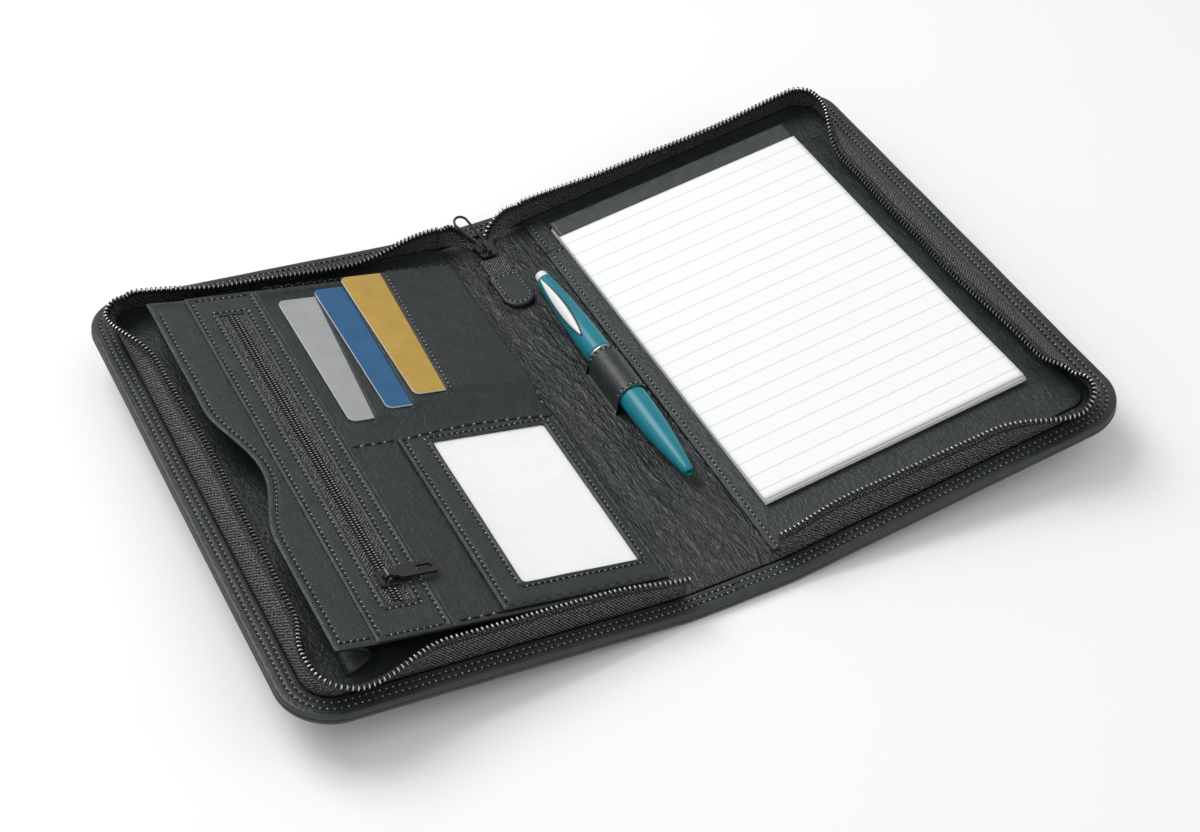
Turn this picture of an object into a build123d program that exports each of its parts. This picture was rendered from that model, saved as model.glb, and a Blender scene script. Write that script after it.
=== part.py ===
from build123d import *
from itertools import cycle
import math
import os

# Writing pad, which the covers are sized around
PAD_WIDTH = 127.0
PAD_LENGTH = 203.2
PAD_LEFT = 9.0
PAD_RIGHT_MARGIN = 32.0
PAD_FRONT_MARGIN = 37.2
PAD_BACK_MARGIN = 24.6
PAD_BOARD = 0.8
PAD_SHEETS = 2.7
TOP_SHEET = 0.3
BINDING_HEIGHT = 11.0
BINDING_PAPER = 0.3
PAD_HEAD_OUT = 13.6
PAD_POCKET_INSET = 14.6
PAD_POCKET_WALL = 0.7
PAD_CLEARANCE = 1.5

# Covers, lying open in a shallow V on a table. The origin is the middle of the spine's underside.
COVER_WIDTH = PAD_LEFT + PAD_WIDTH + PAD_RIGHT_MARGIN
COVER_HEIGHT = PAD_FRONT_MARGIN + PAD_LENGTH + PAD_BACK_MARGIN
HALF_HEIGHT = COVER_HEIGHT / 2
CORNER_RADIUS = 22.0
OPEN_TILT = 7.5
SPINE_WIDTH = 44.0
HINGE_GAP = 0.3

# Layers of one cover, measured down from the top of its edge band
LEATHER = 1.1
BOARD = 2.3
BAND_THICKNESS = 1.6
BAND_WIDTH = 10.0
RIM_WALL = 1.6
LINER_STEP = 0.2
LINING = 1.0
COVER_THICKNESS = LEATHER + BOARD + BAND_THICKNESS
LAYER_GAP = 0.1

# Zip tape that stands along the inner edge of the band, and its teeth
TAPE_THICKNESS = 0.6
TAPE_WIDTH = 14.0
TAPE_SEAT = 0.9
TOOTH_PITCH = 2.1
TOOTH_LENGTH = 1.3
TOOTH_DEPTH = 2.4
TOOTH_HEIGHT = 2.2
TOOTH_GRIP = 1.0
STRAIGHT_STEP = 12.0
CORNER_STEP = 4.0
RIGHT_LEANS = (1.0, 12.0, 6.0, -35.0, 29.0, 51.0, 62.0, 57.0, 10.0, 15.0, 24.0, 19.0, 10.0)
LEFT_LEANS = (-14.0, 0.0, -1.0, -37.0, 2.0, 21.0, 28.0, 19.0, -24.0, 18.0, 39.0, 46.0, 12.0)

# Organizer sewn to the left cover at the spine, lifted by its gussets
ORGANIZER_LIFT = 5.5
ORGANIZER_SEAM = 2.0
ORGANIZER_SIDE_GAP = 21.0
ORGANIZER_FRONT_GAP = 17.8
ORGANIZER_BACK_GAP = 28.2
ORGANIZER_LEFT = COVER_WIDTH - ORGANIZER_SIDE_GAP
ORGANIZER_FRONT = ORGANIZER_FRONT_GAP - HALF_HEIGHT
ORGANIZER_BACK = HALF_HEIGHT - ORGANIZER_BACK_GAP
ORGANIZER_CLEARANCE = 0.6
POCKET_WALL = 0.6
PANEL_LEATHER = 0.7
SCOOP_MIDDLE = -11.0
SCOOP_CHORD = 66.0
SCOOP_DEPTH = 10.0
SCOOP_BLEND = 24.0
GUSSET_SEAM = ORGANIZER_LEFT - 6.0
GUSSET_FOLD = 9.0
GUSSET_LEATHER = 1.2
GUSSET_LENGTHS = (26.0, 12.0)

# Zip pocket on the organizer
POCKET_LIP = 17.0
ZIP_PANEL_WIDTH = 32.0
ZIP_PANEL_LEFT = ORGANIZER_LEFT - POCKET_LIP
ZIP_PANEL_RIGHT = ZIP_PANEL_LEFT - ZIP_PANEL_WIDTH
ZIP_LINE = ZIP_PANEL_LEFT - 16.9
ZIP_WINDOW_WIDTH = 11.2
ZIP_WINDOW_CORNER = 2.0
ZIP_WINDOW_FRONT = ORGANIZER_FRONT + 18.0
ZIP_WINDOW_BACK = ORGANIZER_BACK - 15.0
CHAIN_WIDTH = 4.2
CHAIN_OVERLAP = 1.0
POCKET_PITCH = 3.2
POCKET_TOOTH = 1.4
CHAIN_END = 2.0
POCKET_SLIDER_Y = ZIP_WINDOW_FRONT + 12.7
POCKET_SLIDER_WIDTH = 8.0
POCKET_SLIDER_LENGTH = 9.0
POCKET_SLIDER_PLATE = 1.0
POCKET_SLIDER_CORNER = 1.5
EAR_THICKNESS = 1.0
EAR_SPAN = 5.8
POCKET_PULL_LENGTH = 21.0
POCKET_PULL_WIDTH = 6.5
POCKET_BAR = 0.6
POCKET_BAR_HEIGHT = 2.6
POCKET_BAR_CLEARANCE = 0.25
POCKET_EYE = 1.6
POCKET_NECK_WIDTH = 3.6
POCKET_PULL_THICKNESS = 1.2
PULL_HOLE_LENGTH = 7.0
PULL_HOLE_WIDTH = 3.0
PULL_HOLE_END = 6.0

# Payment cards, each in a slot of the card panel
CARD_LENGTH = 85.6
CARD_WIDTH = 54.0
CARD_THICKNESS = 0.76
CARD_RADIUS = 3.2
CARD_LEFTS = (90.75, 72.8, 58.5)
CARD_BACK_GAPS = (10.5, 7.7, 3.2)
SLOT_LEFTS = (76.2, 59.8, 41.2)
SLOT_SLANTS = (3.75, 1.5, 2.75)
CARD_POCKET_MARGIN = 5.0

# Window pocket with a blank card
WINDOW_POCKET_LEFT = 76.0
WINDOW_POCKET_GAP = 12.2
WINDOW_POCKET_BACK = ORGANIZER_BACK - CARD_BACK_GAPS[0] - CARD_LENGTH - WINDOW_POCKET_GAP
WINDOW_LEFT = 62.5
WINDOW_RIGHT = 10.0
WINDOW_FRONT = ORGANIZER_FRONT + 14.0
WINDOW_BACK = WINDOW_POCKET_BACK - 8.7
WINDOW_CORNER = 1.5
WINDOW_HEM = 4.0
BLANK_CARD_MARGIN = 1.5
BLANK_CARD = 0.4
FILM = 0.2

# Pen in its loop on the spine
PEN_X = 10.2
PEN_TIP_Y = -67.5
PEN_LENGTH = 139.0
PEN_RADIUS = 6.2
PEN_BORE = 4.4
PEN_NOSE_RADIUS = 2.2
PEN_TOP_RADIUS = 3.6
PEN_SWELL = 50.0
PEN_FACETS = 4
PEN_SPLIT = 80.0
PEN_RING = 1.2
RING_PROUD = 0.2
PEN_LIFT = 0.6
NOSE_BORE = 1.3
NOSE_LENGTH = 9.0
BUTTON_RADIUS = 2.9
BUTTON_OUT = 4.6
BUTTON_BORE = 3.1
BUTTON_DOME = 1.2
STEM_DEPTH = 20.0
STEM_START = PEN_LENGTH - STEM_DEPTH
BORE_SHOULDER = 6.0
REFILL_RADIUS = 2.6
REFILL_TIP = 1.1
REFILL_NECK = 1.7
REFILL_POINT = 0.5
REFILL_START = 2.0
REFILL_CONE = 3.0
REFILL_STEP = 20.0
SPRING_WIRE = 0.5
SPRING_TURNS = 4
SPRING_BOTTOM = 25.5
SPRING_TOP = 36.0
CLIP_LENGTH = 44.0
CLIP_START = PEN_LENGTH - CLIP_LENGTH - 2.5
CLIP_BELLY = 0.55
CLIP_WIDTH = 4.4
CLIP_THICKNESS = 1.2
CLIP_ROLL = 40.0
CLIP_LOW = 7.0
CLIP_HIGH = 5.0
BOSS_WIDTH = 1.6
BOSS_LENGTH = 3.0
BOSS_ROOT = 3.5
BOSS_SETBACK = 5.0
LOOP_START = 50.9
LOOP_LENGTH = 29.0
LOOP_LEATHER = 0.7
LOOP_CLEARANCE = 0.3
LOOP_FLANGE = 3.0

# Main zip's slider, tail and leather tab at the back of the spine
SLIDER_X = -2.5
SLIDER_Y = HALF_HEIGHT - 24.5
SLIDER_LENGTH = 10.5
SLIDER_NOSE = 9.6
SLIDER_REAR = 7.6
SLIDER_PLATE = 0.8
SLIDER_GAP = 1.8
SLIDER_CORNER = 1.2
SLIDER_POST_WIDTH = 1.0
SLIDER_POST_LENGTH = 1.5
BRIDGE_LENGTH = 8.0
BRIDGE_HEIGHT = 4.4
BRIDGE_WALL = 1.2
BRIDGE_WIDTH = 2.0
BRIDGE_SETBACK = 0.6
BRIDGE_RISE = 1.4
TAIL_WIDTH = 12.0
TAIL_THICKNESS = 0.6
TAB_WIDTH = 15.0
TAB_LENGTH = 24.0
TAIL_LENGTH = 18.5
TAB_BACK = SLIDER_Y - TAIL_LENGTH
TAB_LEATHER = 1.0
PULL_WIRE = 0.6
PULL_LENGTH = 21.0
PULL_WIDTH = 8.0
PULL_TURN = 23.0
PULL_RISE = 22.0

# Loose tape between each cover and the slider: share of the way, step to the front and height, for the
# tape's root and for its tip
THROAT_ROOTS = ((0.3, 2.5, 0.6), (0.45, 5.0, 0.7))
THROAT_TIPS = ((0.35, 1.0, 11.0), (0.7, 1.5, 6.0))
THROAT_TIP_STEP = 3.0

# Values worked out from the sizes above
HALF_SPINE = SPINE_WIDTH / 2
HINGE_Z = COVER_THICKNESS
SPINE_EDGE = HALF_SPINE - HINGE_GAP
LEATHER_TOP = LEATHER - COVER_THICKNESS
BOARD_TOP = -BAND_THICKNESS
LINER_TOP = -LINER_STEP
TAPE_INSET = BAND_WIDTH + TAPE_SEAT / 2
LINER_INSET = BAND_WIDTH + TAPE_SEAT
LINING_BOTTOM = HINGE_Z + BOARD_TOP
LINING_TOP = LINING_BOTTOM + LINING
LINING_HALF = HALF_HEIGHT - LINER_INSET
PEN_Z = LINING_TOP + PEN_LIFT + PEN_RADIUS
SLIDER_TOP = 2 * SLIDER_PLATE + SLIDER_GAP
PULL_PIVOT = (SLIDER_X, SLIDER_Y - BRIDGE_SETBACK, LINING_TOP + LAYER_GAP + SLIDER_TOP + BRIDGE_RISE)


def left_frame(tilt):
    """Placement of a flat local frame on the left hinge line, with its left side raised by tilt."""
    return Location((-HALF_SPINE, 0, HINGE_Z), (0, tilt, 0))


RIGHT_COVER = Location((HALF_SPINE, 0, HINGE_Z), (0, -OPEN_TILT, 0))
LEFT_COVER = left_frame(OPEN_TILT)
ORGANIZER = left_frame(OPEN_TILT + ORGANIZER_LIFT)


def rectangle(x0, x1, y0, y1, radius=0.0):
    """Rectangle between two corners, with all four corners rounded when a radius is given."""
    middle = Pos((x0 + x1) / 2, (y0 + y1) / 2)
    if radius > 0:
        return middle * RectangleRounded(x1 - x0, y1 - y0, radius)
    return middle * Rectangle(x1 - x0, y1 - y0)


def sheet(sketch, bottom, top):
    """Flat sheet of a sketch between two heights."""
    return extrude(Pos(0, 0, bottom) * sketch, amount=top - bottom)


def cover_outline(inset):
    """Outline of a right cover, drawn in by inset on its three free sides."""
    outline = rectangle(HINGE_GAP, COVER_WIDTH - inset, inset - HALF_HEIGHT, HALF_HEIGHT - inset)
    far_corners = outline.vertices().group_by(Axis.X)[-1]
    return fillet(far_corners, CORNER_RADIUS - inset)


def edge_inset(edge):
    """Distance of an edge's middle from the cover's outline."""
    point = edge @ 0.5
    from_side = COVER_WIDTH - point.X
    from_end = HALF_HEIGHT - abs(point.Y)
    if from_side < CORNER_RADIUS and from_end < CORNER_RADIUS:
        return CORNER_RADIUS - math.hypot(CORNER_RADIUS - from_side, CORNER_RADIUS - from_end)
    return min(from_side, from_end)


def outer_edges(solid, height, reach):
    """Edges at one height that follow the free sides of the cover."""
    level = [edge for edge in solid.edges() if abs((edge @ 0).Z - height) < 1e-3]
    flat = [edge for edge in level if abs((edge @ 1).Z - height) < 1e-3]
    return [edge for edge in flat if edge_inset(edge) < reach and (edge @ 0.5).X > 2 * HINGE_GAP]


def cover_leather():
    """Outer leather: a tray whose turned-up rim holds the board."""
    tray = sheet(cover_outline(0), -COVER_THICKNESS, LEATHER_TOP)
    tray += sheet(cover_outline(0) - cover_outline(RIM_WALL), LEATHER_TOP, BOARD_TOP)
    tray = fillet(outer_edges(tray, -COVER_THICKNESS, RIM_WALL / 2), LEATHER)
    return fillet(outer_edges(tray, BOARD_TOP, RIM_WALL / 2), RIM_WALL / 2)


def cover_band():
    """Leather edge band round the three free sides, with a rolled outer edge."""
    lip = HINGE_GAP
    band = sheet(cover_outline(lip) - cover_outline(BAND_WIDTH), BOARD_TOP, 0)
    return fillet(outer_edges(band, 0, 2 * lip), LEATHER)


def tape_path(distance):
    """Point and inward normal on the tape's seam, from the front of the spine round to its back."""
    radius = CORNER_RADIUS - TAPE_INSET
    run = COVER_WIDTH - TAPE_INSET - radius - HINGE_GAP
    side = COVER_HEIGHT - 2 * TAPE_INSET - 2 * radius
    arc = radius * math.pi / 2
    middle = COVER_WIDTH - TAPE_INSET - radius
    half = side / 2
    if distance <= run:
        return (HINGE_GAP + distance, -half - radius), (0, 1)
    if distance <= run + arc:
        turn = (distance - run) / radius
        normal = (-math.sin(turn), math.cos(turn))
        return (middle - radius * normal[0], -half - radius * normal[1]), normal
    if distance <= run + arc + side:
        return (middle + radius, distance - run - arc - half), (-1, 0)
    if distance <= run + 2 * arc + side:
        turn = (distance - run - arc - side) / radius
        normal = (-math.cos(turn), -math.sin(turn))
        return (middle - radius * normal[0], half - radius * normal[1]), normal
    return (middle - (distance - run - 2 * arc - side), half + radius), (0, -1)


def tape_marks():
    """Distances along the seam: front start, corner starts and ends, and back end."""
    radius = CORNER_RADIUS - TAPE_INSET
    run = COVER_WIDTH - TAPE_INSET - radius - HINGE_GAP
    side = COVER_HEIGHT - 2 * TAPE_INSET - 2 * radius
    arc = radius * math.pi / 2
    return [0, run, run + arc, run + arc + side, run + 2 * arc + side, 2 * run + 2 * arc + side]


def lean_profile(leans):
    """Lean of the tape by distance, from its leans at stations round the cover; inward is positive."""
    front_start, front_end, side_start, side_end, back_start, back_end = tape_marks()
    near = CORNER_RADIUS / 4
    far = 2 * CORNER_RADIUS
    stations = [
        front_start,
        front_end / 4,
        front_end - far,
        front_end - near,
        side_start,
        side_start + far / 2,
        (side_start + side_end) / 2,
        side_end - far,
        side_end - near,
        (side_end + back_start) / 2,
        back_start + far,
        (back_start + far + back_end) / 2,
        back_end,
    ]
    return list(zip(stations, leans))


def lean_at(profile, distance):
    """Lean at one distance, eased between the profile's knots."""
    for (start, before), (end, after) in zip(profile, profile[1:]):
        if distance <= end:
            share = (distance - start) / (end - start)
            return before + (after - before) * (1 - math.cos(math.pi * share)) / 2
    return profile[-1][1]


def tape_frame(profile, distance, side):
    """Seam point, direction across the standing tape and direction up the tape, on one cover."""
    (x, y), normal = tape_path(distance)
    lean = math.radians(lean_at(profile, distance))
    seam = Vector(side * x, y, 0)
    inward = Vector(side * normal[0], normal[1], 0)
    up = inward * math.sin(lean) + Vector(0, 0, math.cos(lean))
    across = inward * math.cos(lean) - Vector(0, 0, math.sin(lean))
    return seam, inward, across, up


def faceted_strip(sections):
    """Solid strip through sections that go up one face and down the other, with matching diagonals."""
    faces = []
    for first, second in zip(sections, sections[1:]):
        corners = list(zip(first, second))
        following = corners[1:] + corners[:1]
        for index, ((near, far), (next_near, next_far)) in enumerate(zip(corners, following)):
            if index < len(corners) / 2:
                halves = [near, next_near, next_far], [near, next_far, far]
            else:
                halves = [near, next_near, far], [next_near, next_far, far]
            faces += [Face(Wire.make_polygon(half, close=True)) for half in halves]
    for end in (sections[0], sections[-1]):
        middle = sum(end, Vector()) / len(end)
        for point, next_point in zip(end, end[1:] + end[:1]):
            faces.append(Face(Wire.make_polygon([middle, point, next_point], close=True)))
    return Solid(Shell(faces))


def zip_tape(profile, side):
    """Zip tape of one cover: a strip that stands on the board and leans as the profile says."""
    marks = tape_marks()
    distances = [marks[0]]
    steps = cycle((STRAIGHT_STEP, CORNER_STEP))
    for start, end, longest in zip(marks, marks[1:], steps):
        count = math.ceil((end - start) / longest)
        distances += [start + (end - start) * step / count for step in range(1, count + 1)]
    half = TAPE_THICKNESS / 2
    foot = Vector(0, 0, BOARD_TOP)
    knee = Vector(0, 0, LAYER_GAP)
    sections = []
    for distance in distances:
        seam, inward, across, up = tape_frame(profile, distance, side)
        top = seam + knee + up * TAPE_WIDTH
        points = [
            seam + foot - inward * half,
            seam + foot + inward * half,
            seam + knee + across * half,
            top + across * half,
            top - across * half,
            seam + knee - across * half,
        ]
        sections.append(points)
    return faceted_strip(sections)


def zip_teeth(profile, side):
    """Row of separate teeth gripping the free edge of a standing tape at an even pitch."""
    end = tape_marks()[-1]
    steps = int(end)
    tips = []
    for step in range(steps + 1):
        seam, _, _, up = tape_frame(profile, end * step / steps, side)
        tips.append(seam + up * TAPE_WIDTH)
    travel = 0.0
    due = TOOTH_PITCH
    teeth = []
    for step in range(steps):
        span = (tips[step + 1] - tips[step]).length
        while due <= travel + span:
            distance = end * (step + (due - travel) / span) / steps
            teeth.append(zip_tooth(profile, distance, side, tips[step + 1] - tips[step]))
            due += TOOTH_PITCH
        travel += span
    return Compound(children=teeth)


def zip_tooth(profile, distance, side, along):
    """One tooth, astride the tape's edge."""
    seam, _, _, up = tape_frame(profile, distance, side)
    rise = TAPE_WIDTH + LAYER_GAP + TOOTH_HEIGHT / 2 - TOOTH_GRIP
    seat = Plane(origin=seam + up * rise, x_dir=along, z_dir=up)
    return seat * Box(TOOTH_LENGTH, TOOTH_DEPTH, TOOTH_HEIGHT)


def cover_parts():
    """Leather, board, liner, band, tape and teeth of both covers."""
    shapes = {
        "outer_leather": cover_leather(),
        "board": sheet(cover_outline(RIM_WALL), LEATHER_TOP, BOARD_TOP),
        "liner": sheet(cover_outline(LINER_INSET), BOARD_TOP, LINER_TOP),
        "edge_band": cover_band(),
    }
    nodes = {}
    for name, shape in shapes.items():
        nodes["right_" + name] = RIGHT_COVER * shape
        nodes["left_" + name] = LEFT_COVER * mirror(shape, about=Plane.YZ)
    right_lean = lean_profile(RIGHT_LEANS)
    left_lean = lean_profile(LEFT_LEANS)
    nodes["right_zip_tape"] = RIGHT_COVER * zip_tape(right_lean, 1)
    nodes["right_zip_teeth"] = RIGHT_COVER * zip_teeth(right_lean, 1)
    nodes["left_zip_tape"] = LEFT_COVER * zip_tape(left_lean, -1)
    nodes["left_zip_teeth"] = LEFT_COVER * zip_teeth(left_lean, -1)
    return nodes


def spine_parts():
    """Leather, padding, lining and the two edge bands of the spine."""
    across = rectangle(-SPINE_EDGE, SPINE_EDGE, -HALF_HEIGHT, HALF_HEIGHT)
    inside = rectangle(-SPINE_EDGE, SPINE_EDGE, RIM_WALL - HALF_HEIGHT, HALF_HEIGHT - RIM_WALL)
    leather = sheet(across, 0, LEATHER) + sheet(across - inside, LEATHER, LINING_BOTTOM)
    low_ends = leather.edges().filter_by(Axis.X).group_by(Axis.Z)[0]
    leather = fillet(low_ends, LEATHER)
    bands = []
    for end in (-1, 1):
        outer = end * (HALF_HEIGHT - HINGE_GAP)
        inner = end * (HALF_HEIGHT - BAND_WIDTH)
        strip = rectangle(-SPINE_EDGE, SPINE_EDGE, min(outer, inner), max(outer, inner))
        band = sheet(strip, LINING_BOTTOM, HINGE_Z - HINGE_GAP)
        top_edges = band.edges().filter_by(Axis.X).group_by(Axis.Z)[-1]
        rolled = sorted(top_edges, key=lambda edge: abs((edge @ 0.5).Y))[-1]
        bands.append(fillet(rolled, LEATHER))
    lining = rectangle(-SPINE_EDGE, SPINE_EDGE, -LINING_HALF, LINING_HALF)
    return {
        "spine_outer_leather": leather,
        "spine_padding": sheet(inside, LEATHER, LINING_BOTTOM),
        "spine_lining": sheet(lining, LINING_BOTTOM, LINING_TOP),
        "spine_edge_bands": Compound(children=bands),
    }


def throat_tape(ends):
    """Loose stretch of tape between a cover and the slider, through root and tip pairs."""
    half = TAPE_THICKNESS / 2
    sections = []
    for index, (root, tip) in enumerate(ends):
        before = ends[max(index - 1, 0)]
        after = ends[min(index + 1, len(ends) - 1)]
        forward = (Vector(*after[0]) + Vector(*after[1])) - (Vector(*before[0]) + Vector(*before[1]))
        root = Vector(*root)
        tip = Vector(*tip)
        across = (tip - root).cross(forward).normalized() * half
        sections.append([root - across, tip - across, tip + across, root + across])
    return faceted_strip(sections)


def throat_parts():
    """The two loose tape ends that come down from the covers into the slider."""
    low = LINING_TOP + SLIDER_PLATE + SLIDER_GAP / 2
    nose = SLIDER_Y + SLIDER_LENGTH / 2 + 2 * LAYER_GAP
    seam_y = HALF_HEIGHT - TAPE_INSET
    nodes = {}
    for name, side in (("left_throat_tape", -1), ("right_throat_tape", 1)):
        edge = side * (SPINE_EDGE - HINGE_GAP)
        near = SLIDER_X + side
        reach = edge - near
        start_tip = edge - side * (TAPE_WIDTH * math.sin(math.radians(OPEN_TILT)) + TOOTH_LENGTH)
        first_root = (edge, seam_y, HINGE_Z + LAYER_GAP)
        first_tip = (start_tip, seam_y - THROAT_TIP_STEP, HINGE_Z + TAPE_WIDTH)
        ends = [(first_root, first_tip)]
        for root, tip in zip(THROAT_ROOTS, THROAT_TIPS):
            pair = (root, tip)
            ends.append([(edge - share * reach, seam_y - step, HINGE_Z + rise) for share, step, rise in pair])
        ends.append(((near + side * TAIL_WIDTH / 2, nose, low), (near, nose, low)))
        nodes[name] = throat_tape(ends)
    return nodes


def main_slider():
    """Slider body: two plates on a nose post, rear flanges and an arched bridge for the pull."""
    nose_y = SLIDER_LENGTH / 2
    corners = [
        (-SLIDER_REAR / 2, -nose_y),
        (SLIDER_REAR / 2, -nose_y),
        (SLIDER_NOSE / 2, nose_y),
        (-SLIDER_NOSE / 2, nose_y),
    ]
    outline = make_face(Polyline(*corners, close=True))
    outline = fillet(outline.vertices(), SLIDER_CORNER)
    upper = SLIDER_PLATE + SLIDER_GAP
    top = upper + SLIDER_PLATE
    body = sheet(outline, 0, SLIDER_PLATE) + sheet(outline, upper, top)
    post = Pos(0, nose_y - SLIDER_POST_LENGTH - LAYER_GAP) * Ellipse(SLIDER_POST_WIDTH, SLIDER_POST_LENGTH)
    body += sheet(post, SLIDER_PLATE, upper)
    bridge = Plane.YZ.offset(-BRIDGE_WIDTH / 2) * Pos(-BRIDGE_SETBACK, top + BRIDGE_RISE)
    arch = SlotOverall(BRIDGE_LENGTH, BRIDGE_HEIGHT)
    eye = SlotOverall(BRIDGE_LENGTH - 2 * BRIDGE_WALL, BRIDGE_HEIGHT - 2 * BRIDGE_WALL)
    body += extrude(bridge * (arch - eye), amount=BRIDGE_WIDTH)
    return Pos(SLIDER_X, SLIDER_Y, LINING_TOP + LAYER_GAP) * body


def main_pull():
    """Bent wire pull, a long loop threaded through the slider's bridge and leaning back to the left."""
    half = PULL_WIDTH / 2
    butt = LAYER_GAP
    corners = [(-butt, 0), (-half, 0), (-half, PULL_LENGTH), (half, PULL_LENGTH), (half, 0), (butt, 0)]
    route = FilletPolyline(*corners, radius=[2 * PULL_WIRE, half - butt, half - butt, 2 * PULL_WIRE])
    start = Plane(origin=route @ 0, z_dir=route % 0)
    wire = sweep(start * RegularPolygon(PULL_WIRE, 8), path=route)
    lean = Pos(*PULL_PIVOT) * Rot(0, 0, PULL_TURN) * Rot(PULL_RISE, 0, 0)
    return lean * wire


def tail_parts():
    """Woven tail behind the slider and the two-layer leather tab that ends it."""
    bottom = LINING_TOP + LAYER_GAP
    tape_low = bottom + TAB_LEATHER
    slider_rear = SLIDER_Y - SLIDER_LENGTH / 2 - LAYER_GAP
    tail = rectangle(-TAIL_WIDTH / 2, TAIL_WIDTH / 2, TAB_BACK - TAB_LENGTH / 4, slider_rear)
    square = rectangle(-TAB_WIDTH / 2, TAB_WIDTH / 2, TAB_BACK - TAB_LENGTH, TAB_BACK)
    round_end = square.vertices().group_by(Axis.Y)[0]
    tab = fillet(round_end, TAB_WIDTH / 2 - LAYER_GAP)
    tab_solid = sheet(tab, bottom, tape_low + TAIL_THICKNESS + TAB_LEATHER)
    pocket = rectangle(-TAIL_WIDTH / 2, TAIL_WIDTH / 2, TAB_BACK - TAB_LENGTH / 4, TAB_BACK)
    tab_solid -= sheet(pocket, tape_low, tape_low + TAIL_THICKNESS)
    return {
        "zip_tail_tape": Pos(SLIDER_X) * sheet(tail, tape_low, tape_low + TAIL_THICKNESS),
        "zip_tail_tab": Pos(SLIDER_X) * tab_solid,
    }


def organizer_outline():
    """Document pocket's wall, with a thumb scoop in its free left edge."""
    wall = rectangle(-ORGANIZER_LEFT, -ORGANIZER_SEAM, ORGANIZER_FRONT, ORGANIZER_BACK)
    radius = (SCOOP_CHORD ** 2 / 4 + SCOOP_DEPTH ** 2) / (2 * SCOOP_DEPTH)
    scoop = Pos(-ORGANIZER_LEFT + SCOOP_DEPTH - radius, SCOOP_MIDDLE) * Circle(radius)
    wall -= scoop
    lips = [v for v in wall.vertices() if abs(v.Y - SCOOP_MIDDLE) < 0.6 * SCOOP_CHORD]
    return fillet(lips, SCOOP_BLEND)


def gusset(front, back):
    """Leather gusset with one inward fold, between the cover's liner and the organizer's free end."""
    tilt = math.radians(OPEN_TILT)
    lift = math.radians(OPEN_TILT + ORGANIZER_LIFT)
    low_h = LINER_TOP + LAYER_GAP
    high_h = ORGANIZER_CLEARANCE - LAYER_GAP
    x0 = -HALF_SPINE - GUSSET_SEAM * math.cos(tilt) + low_h * math.sin(tilt)
    z0 = HINGE_Z + GUSSET_SEAM * math.sin(tilt) + low_h * math.cos(tilt)
    x2 = -HALF_SPINE - GUSSET_SEAM * math.cos(lift) + high_h * math.sin(lift)
    z2 = HINGE_Z + GUSSET_SEAM * math.sin(lift) + high_h * math.cos(lift)
    x1 = (x0 + x2) / 2 + GUSSET_FOLD
    z1 = (z0 + z2) / 2
    corners = [
        (x0, z0),
        (x1, z1),
        (x2, z2),
        (x2 + GUSSET_LEATHER, z2 - GUSSET_LEATHER * math.tan(lift)),
        (x1 + GUSSET_LEATHER, z1),
        (x0 + GUSSET_LEATHER, z0 - GUSSET_LEATHER * math.tan(tilt)),
    ]
    profile = make_face(Polyline(*corners, close=True))
    return extrude(Plane.XZ.offset(-front) * profile, amount=front - back)


def organizer_parts():
    """Document pocket, zip pocket, card pockets and window pocket of the organizer."""
    wall_low = ORGANIZER_CLEARANCE
    wall_top = wall_low + POCKET_WALL
    panel_top = wall_top + PANEL_LEATHER
    zip_panel = rectangle(-ZIP_PANEL_LEFT, -ZIP_PANEL_RIGHT, ORGANIZER_FRONT, ORGANIZER_BACK)
    window_left = -ZIP_LINE - ZIP_WINDOW_WIDTH / 2
    window_right = -ZIP_LINE + ZIP_WINDOW_WIDTH / 2
    window = rectangle(window_left, window_right, ZIP_WINDOW_FRONT, ZIP_WINDOW_BACK, ZIP_WINDOW_CORNER)
    backing = rectangle(-ZIP_PANEL_RIGHT + LAYER_GAP, -ORGANIZER_SEAM, ORGANIZER_FRONT, ORGANIZER_BACK)
    shapes = {
        "document_pocket_wall": sheet(organizer_outline(), wall_low, wall_top),
        "zip_pocket_panel": sheet(zip_panel - window, wall_top, panel_top),
        "card_panel": sheet(backing, wall_top, panel_top),
    }
    shapes.update(pocket_zip(wall_top, panel_top))
    level = panel_top + LAYER_GAP
    names = ("grey", "blue", "gold")
    for name, left, gap, slot, slant in zip(names, CARD_LEFTS, CARD_BACK_GAPS, SLOT_LEFTS, SLOT_SLANTS):
        back = ORGANIZER_BACK - gap
        front = back - CARD_LENGTH
        card = rectangle(-left, CARD_WIDTH - left, front, back, CARD_RADIUS)
        shapes[name + "_card"] = sheet(card, level, level + CARD_THICKNESS)
        level += CARD_THICKNESS + LAYER_GAP
        end = CARD_WIDTH - left + CARD_POCKET_MARGIN / 2
        corners = [
            (-slot - slant, front - CARD_POCKET_MARGIN / 2),
            (end, front - CARD_POCKET_MARGIN / 2),
            (end, back + CARD_POCKET_MARGIN / 2),
            (-slot + slant, back + CARD_POCKET_MARGIN / 2),
        ]
        pocket = make_face(Polyline(*corners, close=True))
        shapes[name + "_card_pocket"] = sheet(pocket, level, level + POCKET_WALL)
        level += POCKET_WALL + LAYER_GAP
    shapes.update(window_pocket(panel_top))
    nodes = {name: ORGANIZER * shape for name, shape in shapes.items()}
    front_end = ORGANIZER_FRONT
    back_end = ORGANIZER_BACK
    nodes["front_gusset"] = gusset(front_end, front_end + GUSSET_LENGTHS[0])
    nodes["back_gusset"] = gusset(back_end - GUSSET_LENGTHS[1], back_end)
    return nodes


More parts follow.
